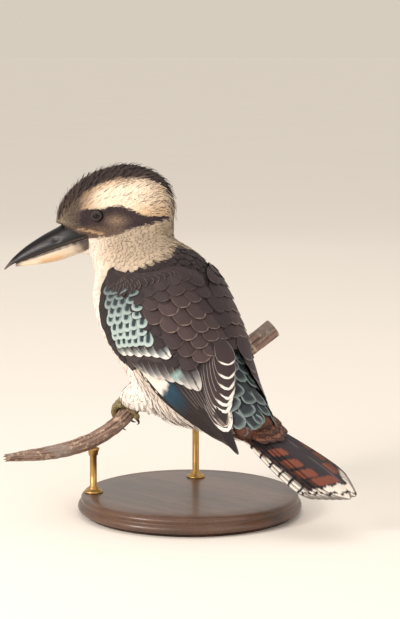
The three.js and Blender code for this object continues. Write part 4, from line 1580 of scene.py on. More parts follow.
    def at(self, face: Array, places: Array) -> tuple[Array, Array, Array]:
        """Reads the way out and the map at places on triangles.

        Args:
            face: the triangle under each place.
            places: the places.

        Returns:
            The places, the way out and the map's places.
        """
        a, b, c = np.moveaxis(self.corners[face], 1, 0)
        ab, ac, ap = b - a, c - a, places - a
        d00, d01, d11 = (ab * ab).sum(-1), (ab * ac).sum(-1), (ac * ac).sum(-1)
        d20, d21 = (ap * ab).sum(-1), (ap * ac).sum(-1)
        whole = np.maximum(d00 * d11 - d01 * d01, 1e-12)
        v, w = (d11 * d20 - d01 * d21) / whole, (d00 * d21 - d01 * d20) / whole
        shares = np.stack([1 - v - w, v, w], 1)[..., None]
        normals = unit((self.normals[self.triangles[face]] * shares).sum(1))
        return places, normals, (self.maps[face] * shares).sum(1)

    def scatter(self, wanted: Array, spacing: float, rng: np.random.Generator) -> tuple[Array, Array, Array]:
        """Strews roots evenly over some of the skin's triangles.

        Args:
            wanted: which triangles to use.
            spacing: the least distance between two roots.
            rng: the seeded source of chance.

        Returns:
            The roots, the way out there, and their places on the map.
        """
        faces = np.flatnonzero(wanted)
        share = self.areas[faces] / self.areas[faces].sum()
        count = int(self.areas[faces].sum() / (0.27 * spacing**2))
        face = faces[rng.choice(len(faces), count, p=share)]
        r, s = np.sqrt(rng.random(count)), rng.random(count)
        shares = np.stack([1 - r, r * (1 - s), r * s], 1)[..., None]
        places = (self.corners[face] * shares).sum(1)
        kept = thin(places, spacing)
        return self.at(face[kept], places[kept])


def thin(places: Array, spacing: float) -> Array:
    """Keeps only places that stand clear of each other.

    Args:
        places: the candidates, in the order in which they are taken.
        spacing: the least distance between two that are kept.

    Returns:
        The numbers of those kept.
    """
    cells: dict[tuple, list[int]] = {}
    kept = []
    near = spacing * spacing
    grid = np.floor(places / spacing).astype(int).tolist()
    rows = places.tolist()
    around = [(i, j, k) for i in (-1, 0, 1) for j in (-1, 0, 1) for k in (-1, 0, 1)]
    for number, (cell, (x, y, z)) in enumerate(zip(grid, rows)):
        x0, y0, z0 = cell
        others = (rows[o] for i, j, k in around for o in cells.get((x0 + i, y0 + j, z0 + k), ()))
        if all((a - x) ** 2 + (b - y) ** 2 + (c - z) ** 2 >= near for a, b, c in others):
            cells.setdefault(tuple(cell), []).append(number)
            kept.append(number)
    return np.array(kept, int)


def outline(share: Array, tip: float) -> Array:
    """Gives a feather's width along it, as a share of its full width.

    Args:
        share: places from root to tip.
        tip: 0 for a pointed tip, 1 for a round one.

    Returns:
        The width at each place.
    """
    full = mix(0.35, 0.72, tip)
    grown = mix(0.45, 1.0, step(0, full, share))
    past = np.clip((share - full) / (1 - full), 0, 1)
    return np.maximum(grown * np.sqrt(np.maximum(1 - past ** mix(1.15, 2.6, tip), 0)), 0.05)


@dataclass(frozen=True)
class Tract:
    """How the small feathers of one region grow: their spacing, size, depth, form and look.

    A tract that lies over another's region adds longer feathers among those.
    """

    spacing: float
    length: float
    width: float
    lift: float
    tip: float
    ruffle: float
    look: dict[str, object]
    rows: int = 5
    across: int = 3
    over: Region | None = None
    camber: float = 0.07


TRACTS = {
    Region.FACE: Tract(1.35, 4.6, 1.7, 0.9, 0.4, 8, dict(streak_width=0.5, streak_end=1.1, rim=0.2)),
    Region.MASK: Tract(1.25, 5.6, 1.7, 0.6, 0.4, 4, dict(rim=0.2, barb_depth=0.1)),
    Region.CROWN: Tract(1.5, 11, 1.9, 1.5, 0.1, 6, dict(rim=0.3, tip=0.9, streak_width=0.4)),
    Region.CREST: Tract(
        4.2, 15, 2.2, 3.8, 0.08, 9, dict(rim=0.3, tip=0.9, streak_width=0.4), 7, over=Region.CROWN,
    ),
    Region.BROW: Tract(
        1.4, 9.5, 1.9, 0.8, 0.2, 5, dict(streak="3a2c28", streak_width=0.6, streak_end=1.1, rim=0.25),
    ),
    Region.CHEEK: Tract(
        1.9, 8.0, 4.0, 0.6, 0.7, 6, dict(streak_width=0.2, rim=0.16, tip=0.84, barb_depth=0.08),
    ),
    Region.NAPE: Tract(1.9, 12, 3.0, 0.9, 0.15, 9, dict(rim=0.2)),
    Region.NECK: Tract(2.2, 10.5, 4.6, 0.6, 0.75, 7, dict(rim=0.18, softness=0.1, barb_depth=0.1)),
    Region.BREAST: Tract(3.0, 14, 7.0, 0.8, 0.7, 7, dict(rim=0.08, tip=0.94, barb_depth=0.1)),
    Region.BELLY: Tract(3.0, 18, 6.6, 1.2, 0.5, 9, dict(rim=0.1, tip=0.93, barb_depth=0.12)),
    Region.FLUFF: Tract(4.0, 21, 3.2, 3.4, 0.2, 15, dict(rim=0.1, tip=0.9), 7, over=Region.BELLY),
    Region.MANTLE: Tract(3.0, 12, 4.6, 1.5, 0.85, 6, dict(rim=0.1, tip=0.94, softness=0.07), 6, 5),
    Region.RUMP: Tract(
        8.6, 22, 14, 2.2, 0.9, 5, dict(rim=0.4, tip=0.74, softness=0.32, ragged=0.1), 8, 5,
    ),
    Region.TAIL_BASE: Tract(4.0, 18, 8, 1.6, 0.7, 6, {}, 7, 5),
    Region.THIGH: Tract(2.4, 12, 4.4, 1.1, 0.5, 8, dict(rim=0.1, tip=0.92)),
}


@dataclass
class Coat:
    """The small feathers of head, neck and body, one piece for each tract."""

    skin: Skin
    rng: np.random.Generator

    def build(self) -> None:
        """Grows every tract."""
        centres = self.skin.corners.mean(1)
        region = self.regions(centres)
        for kind, tract in TRACTS.items():
            wanted = region == (tract.over or kind).value
            if kind is Region.FLUFF:
                wanted &= self.lower_flank(centres)
            self.grow(kind, tract, wanted)

    def lower_flank(self, points: Array) -> Array:
        """Says which places lie on the belly's sides round the thighs, where the longest down hangs."""
        place, angle = PLUMAGE.body_place(points)
        return (place > 4.2) & (place < 8.2) & (np.abs(angle) > 92)

    def reach(self, kind: Region, roots: Array) -> Array:
        """Gives how long feathers grow at their roots, as shares of their tract's length.

        Args:
            kind: the tract's region.
            roots: the feathers' roots.

        Returns:
            A share for each root.
        """
        ahead = HEAD.local(roots)[:, 0]
        if kind in (Region.CROWN, Region.CREST):
            return 0.5 + 0.8 * step(0, -58, ahead)
        if kind is Region.FACE:
            return 1 - 0.4 * step(12, 32, ahead)
        return np.ones(len(roots))

    def regions(self, points: Array) -> Array:
        """Sorts places into tracts.

        Args:
            points: places on the skin.

        Returns:
            The number of each one's region.
        """
        ahead, left, up = HEAD.local(points).T
        place, angle = PLUMAGE.body_place(points)
        away = np.abs(angle)
        cap, low, top = (
            PLUMAGE.border(rows, ahead) for rows in (PLUMAGE.cap_low, PLUMAGE.mask_low, PLUMAGE.mask_top)
        )
        above, below = (PLUMAGE.border(rows, ahead) for rows in (BILL_EDGE, CHIN_EDGE))
        head = (up > -36) & (points[:, 2] > 216)
        eye = np.hypot(ahead - EYE_AHEAD, up - EYE_UP)
        bill = (ahead > 5) & (up < above - 2.2) & (up > below)
        lengthwise = (place - WING.start) / (WING.end - WING.start)
        inner, leading = smooth(WING.inner, lengthwise), smooth(WING.leading, lengthwise)
        under_wing = (away > inner + 12 + 14 * (place > 5)) & (away < leading - 9)
        under_wing &= (lengthwise > 0.07) & (lengthwise < 0.8)
        mantle = (points[:, 2] < PLUMAGE.mantle_top(away)) & (away < 99) & (place < 5.4)
        thigh = np.zeros(len(points), bool)
        for leg in LEGS:
            hip, ankle = np.array(leg.hip, float), Grip(leg).ankle
            share = ((points - hip) @ (ankle - hip)) / ((ankle - hip) @ (ankle - hip))
            axis = np.linalg.norm(points - hip - np.clip(share, 0, 1)[:, None] * (ankle - hip), axis=1)
            thigh |= (share > 0.35) & (axis < THIGH_RADIUS + 1)
        order = [
            (bill | ((eye < 3.2) & (np.abs(left) > 12) & head), Region.HIDDEN),
            (mantle & ~(under_wing & (place > 2)), Region.MANTLE),
            (head & (up > cap - 1), Region.CROWN),
            (head & (ahead < -45), Region.NAPE),
            (head & ((ahead > 10) | (eye < 9)) & (up > -24), Region.FACE),
            (head & (up > low) & (up < top), Region.MASK),
            (head & (up > low), Region.BROW),
            (head, Region.CHEEK),
            (thigh, Region.THIGH),
            (under_wing & (place > 2), Region.HIDDEN),
            (points[:, 2] > 204, Region.NECK),
            ((place > 5.0) & (place < 8.85) & (away < 84), Region.RUMP),
            ((place >= 8.85) & (away < 66), Region.HIDDEN),
            ((place >= 8.7) & (away < 138), Region.TAIL_BASE),
            (place < 4.6, Region.BREAST),
            (place >= 0, Region.BELLY),
        ]
        return np.select([test for test, _ in order], [kind.value for _, kind in order])

    def grow(self, kind: Region, tract: Tract, wanted: Array) -> None:
        """Grows one tract's feathers over its part of the skin.

        Args:
            kind: the tract's region.
            tract: its values.
            wanted: which of the skin's triangles it covers.
        """
        roots, out, maps = self.skin.scatter(wanted, tract.spacing, self.rng)
        count = len(roots)
        way = PLUMAGE.lie(roots)
        way = unit(way - out * (way * out).sum(-1, keepdims=True))
        swing = self.rng.normal(0, tract.ruffle, count)[:, None] * RAD
        way = way * np.cos(swing) + np.cross(out, way) * np.sin(swing)
        length = tract.length * (self.rng.uniform(0.82, 1.18, count) * self.reach(kind, roots))[:, None]
        length = length * self.shorter(roots, way, length)
        stops = [(roots, out)]
        for share in (0.5, 1.0):
            place, normal, _ = self.skin.nearest(roots + way * length * share)
            stops.append((place, normal))
        name = kind.name.lower()
        vanes = Vanes(f"coat_{name}", tract.rows, tract.across)
        t = vanes.stations[None, :, None]
        blend = ((1 - t) * (1 - 2 * t), 4 * t * (1 - t), t * (2 * t - 1))
        path = sum(b * place[:, None] for b, (place, _) in zip(blend, stops))
        normals = unit(sum(b * normal[:, None] for b, (_, normal) in zip(blend, stops)))
        lift = tract.lift * self.rng.uniform(0.8, 1.25, count)[:, None, None]
        path = path + normals * lift * (-0.3 + 1.35 * t - 0.12 * t**4)
        base, mark = PLUMAGE.marks(mix(roots, stops[2][0], 0.55)).four()
        base[..., :3] *= self.rng.normal(1, 0.035, (count, 1, 1))
        base[..., 3] = 0.9 * (self.rng.random((count, 1)) < base[..., 3])
        width = tract.width * self.rng.uniform(0.85, 1.15, count)[:, None] * outline(t[..., 0], tract.tip)
        vanes.add(path, normals, width, base, mark, maps, 0.02 * tract.width + 0.12, tract.camber)
        slot = "feathers_head" if kind.value <= Region.NAPE.value else "feathers_body"
        vanes.build(FeatherFinish(f"plumage_{name}", 0.72, **tract.look), slot)

    def shorter(self, roots: Array, way: Array, length: Array) -> Array:
        """Shortens the feathers that would lie over an eye.

        Args:
            roots: the feathers' roots.
            way: the way they point.
            length: their lengths.

        Returns:
            The share of the length that each keeps.
        """
        keep = np.ones((len(roots), 1))
        for share in (1.0, 0.75, 0.5):
            ahead, _, up = HEAD.local(roots + way * length * share).T
            over = (np.hypot(ahead - EYE_AHEAD, up - EYE_UP) < 4.0) & (roots[:, 2] > 230)
            keep[over] = np.minimum(keep[over], share * 0.55)
        return keep


@dataclass(frozen=True)
class Row:
    """One row of a tier's feathers: its number, the stations along them, and their places on the wing."""

    row: int
    along: Array
    lengthwise: Array
    across: Array


def lay(base: Array, code: str, share: Array) -> None:
    """Lays a colour over feathers' base by a share at each station."""
    base[..., :3] = over(base[..., :3], code, np.broadcast_to(share, base.shape[:2]))


def mark_primaries(row: Row, base: Array, mark: Array) -> None:
    """Lays white at the primaries' base, and then blue.

    Args:
        row: the row.
        base: its base colours, changed in place.
        mark: its rim colours, changed in place.
    """
    length, breadth = row.lengthwise, row.across
    inside = step(0.045, 0.07, breadth)
    blue = inside * step(0.34, 0.24, breadth) * step(0.7, 0.6, length)
    lay(base, "1f3f53", blue)
    lay(base, "18262f", blue * step(0.56, 0.66, length) * 0.7)
    white = inside * step(0.27, 0.24, breadth) * step(0.545, 0.53, length + 0.03 * (breadth - 0.1))
    lay(base, "efe7dc", white)
    mark[..., 3] = mix(mark[..., 3], 0.15, white)


def mark_tertials(row: Row, base: Array, mark: Array) -> None:
    """Lets the rim show only as an arc round each tip."""
    mark[..., 3] = mix(0.3, 1.0, step(0.82, 0.95, row.along))[None]
    mark_teal(row, base, mark)


def mark_teal(row: Row, base: Array, _: Array) -> None:
    """Lays the single blue-green spot over the wing's middle."""
    far = np.hypot((row.lengthwise - 0.545) * 184, (row.across - 0.43) * 80)
    lay(base, "8fb0aa", step(6.0, 2.5, far) * 0.85)


def mark_spotted(row: Row, base: Array, mark: Array) -> None:
    """Makes the small coverts paler from row to row.

    Args:
        row: the row.
        base: its base colours, changed in place.
        mark: its rim colours, changed in place.
    """
    low = float(step(0.0, 6.0, np.array(row.row, float)))
    lay(base, "879b98", np.full(row.lengthwise.shape, low))
    mark[..., 3] = 0.3 + 0.65 * low


def mark_scapulars(row: Row, base: Array, mark: Array) -> None:
    """Lets the fine pale edge show only over the wing's middle.

    Args:
        row: the row.
        base: its base colours, changed in place.
        mark: its rim colours, changed in place.
    """
    tip_l, tip_a = row.lengthwise[:, -1:], row.across[:, -1:]
    band = step(0.26, 0.14, np.abs(tip_a - 0.68 - 0.35 * (tip_l - 0.2))) * step(0.2, 0.3, tip_l)
    mark[..., 3] = np.maximum(band * 0.75, 0.12)
    lay(base, "493a39", band * 0.8)


@dataclass(frozen=True)
class Dye:
    """A tier's colours.

    These are the vane's, the rim's and tip's, how strongly rim and streak show, the colours laid towards the
    tip with the places where each starts and is full, and what else is laid.
    """

    base: str
    mark: str
    edge: float
    streak: float = 0.0
    bands: tuple = ()
    more: Callable[[Row, Array, Array], None] | None = None

    def paint(self, row: Row) -> tuple[Array, Array]:
        """Colours a row of feathers.

        Args:
            row: the row.

        Returns:
            Base and mark, for each feather and station.
        """
        shape = (*row.lengthwise.shape, 1)
        base = np.tile(np.array([*colour(self.base), self.streak]), shape)
        mark = np.tile(np.array([*colour(self.mark), self.edge]), shape)
        for code, low, high in self.bands:
            lay(base, code, step(low, high, row.along)[None])
        if self.more:
            self.more(row, base, mark)
        return base, mark


@dataclass(frozen=True)
class Tier:
    """One tier of a folded wing's feathers.

    Roots and tips lie at shares of the wing's length and breadth, on a line through the places given, from
    the tier's first feather to its last. Lifts are the first feather's over the bed at root and tip, or over
    the wing's body where it lies on that, and each next feather stands higher by the rise. A tier of several
    rows repeats down the wing by its strides, for its first and last feather, each row higher by the climb
    and fuller by the swell. At the wing's inner edge it lies lower by the droop.
    """

    name: str
    finish: str
    count: int
    width: float
    root: tuple
    end: tuple
    lift: tuple
    dye: Dye
    tip: float
    rise: tuple = (0.0, 0.0)
    rows: int = 1
    stride: tuple = ((0.0, 0.0), (0.0, 0.0))
    climb: float = 0.0
    droop: float = 0.0
    swell: float = 0.0
    on_core: bool = False


def wing_finish(name: str, roughness: float, rim: float, tip: float, **values: object) -> FeatherFinish:
    """Makes one of the wing's finishes."""
    return FeatherFinish(f"plumage_{name}", roughness, rim=rim, tip=tip, **values)


WING_FINISHES = {
    "flight": wing_finish(
        "flight", 0.5, 0.06, 0.98, softness=0.03, barbs=70, barb_depth=0.1, ragged=0.03, gloss=0.1,
    ),
    "edged": wing_finish("edged", 0.6, 0.06, 0.96, softness=0.03, barbs=36, barb_depth=0.1, ragged=0.04),
    "arced": wing_finish("arced", 0.6, 0.05, 0.955, softness=0.012, barbs=50, barb_depth=0.08, ragged=0.02),
    "spotted": wing_finish(
        "spotted", 0.6, 0.5, 0.62, streak="29353a", softness=0.3, streak_width=0.62, streak_end=0.84,
        barbs=16,
        barb_depth=0.08, ragged=0.12,
    ),
    "smoky": wing_finish(
        "smoky", 0.62, 0.22, 0.84, streak="2b2324", softness=0.25, streak_width=0.3, streak_end=1.1, barbs=30,
        barb_depth=0.1, ragged=0.5,
    ),
    "plain": wing_finish("plain", 0.62, 0.1, 0.94, softness=0.1, barbs=24, barb_depth=0.1, ragged=0.1),
}

TIERS = (
    Tier(
        "primaries", "flight", 9, 11.5, ((0.38, 0.05), (0.47, 0.36)), ((0.87, 0.03), (1.0, 0.62)), (0.2, 0.0),
        Dye("272021", "6d6058", 0.4, more=mark_primaries), 0.5, (0.28, 0.48),
    ),
    Tier(
        "secondaries", "flight", 8, 12.5, ((0.42, 0.3), (0.48, 0.66)), ((0.84, 0.46), (0.88, 0.72)),
        (2.0, 2.5),
        Dye("332a2b", "8d8077", 0.7), 0.7, (0.26, 0.5),
    ),
    Tier(
        "greater_coverts", "smoky", 8, 13, ((0.28, 0.12), (0.42, 0.5)),
        ((0.42, 0.17), (0.48, 0.23), (0.54, 0.3), (0.61, 0.4), (0.68, 0.5)), (2.6, 4.4),
        Dye("2f2627", "cfc8c0", 0.3, 0.75, (("676565", 0.5, 0.74), ("c9c2bb", 0.7, 0.95)), mark_teal), 0.6,
        (0.2, 0.35),
    ),
    Tier(
        "median_coverts", "smoky", 6, 13, ((0.18, 0.13), (0.3, 0.42)), (
            (0.31, 0.13), (0.38, 0.28), (0.455, 0.43),
        ),
        (-1.0, 1.6), Dye(
            "322a2b", "e4ded7", 0.4, 0.75, (("74807f", 0.58, 0.76), ("e2ddd6", 0.72, 0.93)),
        ), 0.6,
        (0.05, 0.12), on_core=True,
    ),
    Tier(
        "tertials", "arced", 10, 19, ((0.48, 0.62), (0.44, 0.86)),
        ((0.9, 0.68), (0.875, 0.71), (0.85, 0.76), (0.825, 0.84), (0.79, 0.93), (0.735, 0.98), (0.65, 0.98)),
        (2.8, 4.0), Dye("3f3233", "efe8df", 1.0, bands=(("3a2f30", 0.75, 0.3),), more=mark_tertials), 0.85,
        (0.28, 0.5), droop=1.0,
    ),
    Tier(
        "scapulars", "edged", 5, 15, ((0.03, 0.55), (0.02, 1.05)), ((0.18, 0.55), (0.17, 1.05)), (-1.0, 1.7),
        Dye("362b2c", "83706a", 1.0, more=mark_scapulars), 0.9, rows=7, stride=((0.066, 0.0), (0.066, 0.0)),
        climb=0.3, droop=1.6, on_core=True,
    ),
    Tier(
        "plain_coverts", "plain", 3, 12, ((0.0, 0.46), (0.0, 0.66)), ((0.1, 0.48), (0.1, 0.66)), (-1.0, 1.2),
        Dye("2f2627", "3d3233", 0.3), 0.85, rows=9, stride=((0.05, -0.004), (0.05, 0.0)), on_core=True,
    ),
    Tier(
        "spotted_coverts", "spotted", 3, 9.5, ((-0.015, 0.32), (0.025, 0.58)), ((0.045, 0.23), (0.085, 0.5)),
        (-0.8, 2.7), Dye("2f3639", "aebdb9", 1.0, 1.0, more=mark_spotted), 0.85, rows=8,
        stride=((0.031, -0.018), (0.0375, -0.023)), swell=0.12, on_core=True,
    ),
    Tier(
        "marginal_coverts", "plain", 3, 6.5, ((-0.045, 0.02), (-0.03, 0.17)), ((0.03, 0.0), (0.04, 0.12)),
        (-0.4, 0.9), Dye("272021", "342b2c", 0.3), 0.8, (0.0, 0.1), rows=10,
        stride=((0.031, 0.0), (0.031, -0.01)), on_core=True,
    ),
    Tier(
        "upper_scapulars", "edged", 11, 8, ((-0.07, 0.3), (-0.08, 1.02)), ((0.02, 0.34), (0.01, 1.02)),
        (-1.0, 1.4), Dye("2e2526", "6f5f59", 0.5), 0.7, rows=4, stride=((0.02, 0.03), (0.035, 0.0)),
        climb=0.25,
        droop=1.6, on_core=True,
    ),
)


@dataclass
class FoldedWing:
    """One folded wing: its body and its tiers of feathers."""

    side: Side
    skin: Skin
    rng: np.random.Generator
    materials: dict[str, Material]
    arcs: float = 1.0
    thickness: tuple = (2, 4.4, 5.2, 5.2, 5, 4.6, 4, 3.2, 2.4, 1.4)
    core_end: float = 0.56
    hand: float = 0.34
    rows: int = 11
    tilt: float = 0.12

    @property
    def name(self) -> str:
        """The wing's node."""
        return f"wing_{self.side.name.lower()}"

    def core_lift(self, lengthwise: Array, across: Array) -> Array:
        """Gives the height of the wing's body over its bed."""
        arch = np.sin(math.pi * mix(0.14, 0.86, np.clip(across, 0, 1))) ** 0.6
        return smooth(self.thickness, np.clip(lengthwise, 0, 1)) * arch

    def build(self) -> None:
        """Builds the wing's body and grows its tiers."""
        shares = np.linspace(0, 1, 14)
        rings = []
        for lengthwise in np.linspace(0, self.core_end, 22):
            short = mix(0.12, 1.0, step(0.22, 0.42, shares))
            along = np.minimum(lengthwise, self.hand) + np.maximum(lengthwise - self.hand, 0) * short
            outer = WING.point(self.side, along, shares, self.core_lift(along, shares))
            inner = WING.point(self.side, along[::-1], shares[::-1], -1.5)
            rings.append(np.concatenate([outer, inner]))
        core = loft(f"{self.name}_body", rings)
        stain(core, "base", np.tile(colour("3d3334"), (len(core.data.vertices), 1)))
        dress(core, self.materials["core"], (self.name,))
        for finish in WING_FINISHES:
            vanes = Vanes(f"{self.name}_{finish}", 36 if finish == "flight" else self.rows, 5, 1.7)
            for tier in TIERS:
                if tier.finish == finish:
                    self.grow(tier, vanes)
            vanes.build(self.materials[finish], "feathers_wing", (self.name,))

    def grow(self, tier: Tier, vanes: Vanes) -> None:
        """Adds one tier's feathers.

        Args:
            tier: the tier.
            vanes: where its feathers are gathered.
        """
        t = vanes.stations
        side = self.side.value
        for row in range(tier.rows):
            count = round(tier.count * (1 + tier.swell * row))
            number = np.arange(count, dtype=float)
            share = number / max(1, count - 1)
            if row % 2:
                share = share + 0.5 / count
            roots, ends = (
                smooth(places, share) + smooth(tier.stride, share) * row for places in (tier.root, tier.end)
            )
            lengthwise = mix(roots[:, :1], ends[:, :1], t) + self.rng.normal(0, 0.003, (count, 1)) * t
            across = mix(roots[:, 1:], ends[:, 1:], t) + self.rng.normal(0, 0.006, (count, 1)) * t
            low, high = (first + more * number[:, None] for first, more in zip(tier.lift, tier.rise))
            lift = mix(low, high + tier.climb * row, t)
            if tier.on_core:
                lift = lift + self.core_lift(lengthwise, across)
            lift = lift - tier.droop * step(0.8, 1.05, across)
            path = WING.point(self.side, lengthwise, across, lift)
            out = WING.out(self.side, lengthwise, across)
            width = tier.width * outline(t, tier.tip)[None] * self.rng.uniform(0.95, 1.05, (count, 1))
            base, mark = tier.dye.paint(Row(row, t, lengthwise, across))
            base[..., :3] *= self.rng.normal(1, 0.05, (count, 1, 1))
            # arcs scales the tertials' pale arcs; the far wing's are weakened as painted shade.
            if tier.name == "tertials":
                mark[..., 3] *= self.arcs
            maps = self.skin.nearest(path[:, 0])[2]
            vanes.add(path, out, width, base, mark, maps, 0.4, 0.1, side * self.tilt, -side)


@dataclass(frozen=True)
class TailPattern:
    """The markings over the tail's upper side, by the millimetres along it and to the bird's right.

    Feathers that lie lower are read a little further out, so that bars run on from one to the next. Blocks
    are rufous, and each has its middle and its half sizes. The curves give how far along the white tip and
    the black line before it start.
    """

    blocks: tuple = (
        (71.6, -14, 4.6, 7.5), (87.2, -14.5, 5.2, 8), (101.5, -13.5, 5.2, 9), (115.5, -6, 5, 12),
        (64, 16.5, 5, 2.2), (79, 16.2, 5.5, 2.4), (93.4, 15.8, 6, 2.5), (108.8, 13, 7, 3.5),
    )
    white: tuple = ((-45, 112), (-28, 117), (-15, 121), (0, 124), (9, 129), (12, 121), (18, 114), (30, 110))
    line: tuple = ((-45, 113), (-28, 120.8), (-14, 128.8), (3, 137), (8, 140))
    black: str = "1c1618"

    def tints(self, points: Array) -> Array:
        """Gives the colours at points on the tail.

        Args:
            points: places on the bird, in millimetres.

        Returns:
            A colour for each.
        """
        way, side, out = TAIL.axes
        local = points - np.array(TAIL.root)
        high = local @ out
        far, right = local @ way - 0.63 * high, local @ side + 1.34 * high
        wave = 1.1 * np.sin(right * 0.5 + 0.08 * far) + 0.7 * np.sin(right * 1.15 + 2)
        # Painted sheen: the middle feathers are laid a little lighter and more purple.
        middle = step(14, 10, np.abs(right - 5)) * step(128, 112, far)
        tint = over(evenly("261e20", len(points)), "30272c", middle)
        for along, off, half, wide in self.blocks:
            reach = (
                np.abs(far - along - 0.3 * (right - off)) / half
            ) ** 5 + (np.abs(right - off) / wide) ** 5
            tint = over(tint, "7f4431", step(1.35, 0.8, reach + 0.1 * np.sin(right * 1.3 + along)))
        tint = over(tint, "7f4a34", step(18, 19.5, right) * step(0.3, 0.36, np.mod((far + wave) / 15, 1)))
        tint = over(tint, "4a3028", step(-24.5, -26, right) * step(0.3, 0.4, np.mod((far + wave) / 9, 1)))
        bars = step(0.18, 0.24, np.mod((far + 0.35 * right + 0.4 * wave) / 11, 1))
        barred = over(evenly(self.black, len(points)), "efe5d8", bars)
        tint = mix(tint, barred, step(-29.6, -30.4, right)[:, None])
        tint = over(tint, "f0e4d5", step(-0.6, 0.6, far - PLUMAGE.border(self.white, right) - wave))
        stripe = np.abs(far - PLUMAGE.border(self.line, right) - 1.3 * wave)
        tint = over(tint, self.black, step(1.5, 0.9, stripe) * step(10, 8, right))
        tint = over(tint, self.black, step(1.3, 0.8, np.abs(right - 19)) * step(110, 113, far))
        shaft = step(0.7, 0.4, np.abs(right - 7)) * step(62, 70, far) * step(132, 122, far)
        return over(tint, "6b5a5c", 0.7 * shaft)


def chevrons(rise: Array, across: Array, offset: float) -> Array:
    """Colours an upper tail covert: rufous, with dark chevrons that point to its tip.

    Args:
        rise: the distance from the tip, in millimetres.
        across: the place across it, from -1 to 1.
        offset: shifts the chevrons.

    Returns:
        Linear colours for each place.
    """
    phase = np.mod(rise - 4.5 * np.abs(across) + offset, 6.0) / 6.0
    bars = (step(0.0, 0.12, phase) * step(0.42, 0.3, phase))[..., None]
    return mix(colour("80523e"), colour("2a1f20"), bars)


@dataclass
class Tail:
    """The closed tail: its long feathers, and the coverts over and under their roots."""

    skin: Skin
    rng: np.random.Generator
    pairs: int = 6
    width: float = 24.0

    def shaft(self, swing: float, offset: float, lift: Array, length: float, start: float, t: Array) -> Array:
        """Gives one feather's shaft.

        Args:
            swing: its turn from the tail's way, in degrees to the right.
            offset: its root's place to the right.
            lift: its height over the tail's middle plane along it.
            length: its length.
            start: the share of the length where it starts.
            t: the places along it.

        Returns:
            The points.
        """
        way, side, out = TAIL.axes
        along = way * math.cos(swing * RAD) + side * math.sin(swing * RAD)
        reach = mix(start, 1.0, t)[:, None] * length
        return np.array(TAIL.root) + side * offset + out * np.asarray(lift)[..., None] + along * reach

    def add(self, vanes: Vanes, path: Array, face: float, width: Array, camber: float, shift: Num) -> None:
        """Adds one feather, whose colours are laid later.

        Args:
            vanes: where it is gathered.
            path: its shaft.
            face: 1 where its good side is up, -1 where it is down.
            width: its width along it.
            camber: how far its edges drop.
            shift: moves its patch on the bake map.
        """
        out = np.broadcast_to(TAIL.axes[2] * face, (1, *path.shape))
        blank = np.zeros((1, 1, 4))
        dark = np.array([[[*colour("191415"), 0.7]]])
        maps = self.skin.nearest(path[:1])[2] + shift
        vanes.add(path[None], out, width[None], blank, dark if face > 0 else blank, maps, 0.42, camber)

    def lay(self, vanes: Vanes, tints: Array) -> None:
        """Lays colours over the feather that was added last."""
        vanes.parts[-1]["base"] = np.concatenate([tints, np.zeros((len(tints), 1))], 1)

    def build(self) -> None:
        """Builds the long feathers and the coverts."""
        pattern = TailPattern()
        long = Vanes("tail_feathers", 96, 13, 1.0)
        t = long.stations
        for pair in range(self.pairs):
            for side in (-1, 1):
                lift = np.full(long.rows, -1.35 * (pair + (0.5 if side > 0 else 0)))
                swing, offset = side * (0.6 + 1.15 * pair), side * (2.5 + 1.5 * pair)
                path = self.shaft(swing, offset, lift, TAIL.length - 3.8 * pair, 0.12, t)
                width = (self.width - 0.7 * pair) * outline(t, 1.0)
                self.add(long, path, 1.0, width, 0.07, np.array([0.0035 * pair, 0.0035 * side]))
                self.lay(long, pattern.tints(long.parts[-1]["points"]))
        finish = FeatherFinish(
            "plumage_tail", 0.6, rim=0.09, tip=0.99, softness=0.02, barbs=150, barb_depth=0.08, ragged=0.02,
        )
        long.build(finish, "feathers_tail", ("tail",))
        self.upper_coverts()
        self.lower_coverts()

    def upper_coverts(self) -> None:
        """Builds the barred coverts over the tail's root."""
        over = Vanes("tail_coverts", 48, 7, 1.0)
        t = over.stations
        for row in range(7):
            for number in range(5):
                off = number - 2 + (0.5 if row % 2 else 0)
                length = 66 - 7.5 * row - 3 * abs(off)
                lift = mix(1.2 + row, 2.6 + row, t) - 1.0 * abs(off)
                path = self.shaft(1.5 * off, 5.2 * off, lift, length, 1 - 42 / length, t)
                self.add(over, path, 1.0, 13.5 * outline(t, 0.8), 0.15, 0.0)
                rise = (1 - over.parts[-1]["vane"][:, 1]) * 42
                self.lay(over, chevrons(rise, over.parts[-1]["vane"][:, 0] * 2 - 1, 2.2 * number))
        finish = FeatherFinish("plumage_tail_coverts", 0.6, barbs=44, barb_depth=0.08, ragged=0.05)
        over.build(finish, "feathers_tail", ("tail",))

    def lower_coverts(self) -> None:
        """Builds the pale coverts under the tail's root."""
        under = Vanes("tail_coverts_below", 9, 5)
        t = under.stations
        for row in range(4):
            for number in range(4):
                off = number - 1.5
                length = 96 - 13 * row - 4 * abs(off)
                lift = mix(-9.5 - 0.4 * row, -10.8 - 0.5 * row, t) + 1.0 * abs(off)
                path = self.shaft(1.5 * off, 5.6 * off, lift, length, 1 - 42 / length, t)
                self.add(under, path, -1.0, 13 * outline(t, 0.8), 0.15, 0.0)
                self.lay(under, np.tile(colour("e6dbcd"), (len(under.parts[-1]["points"]), 1)))
        finish = FeatherFinish("plumage_tail_under", 0.65, barbs=30, barb_depth=0.1)
        under.build(finish, "feathers_tail", ("tail",))


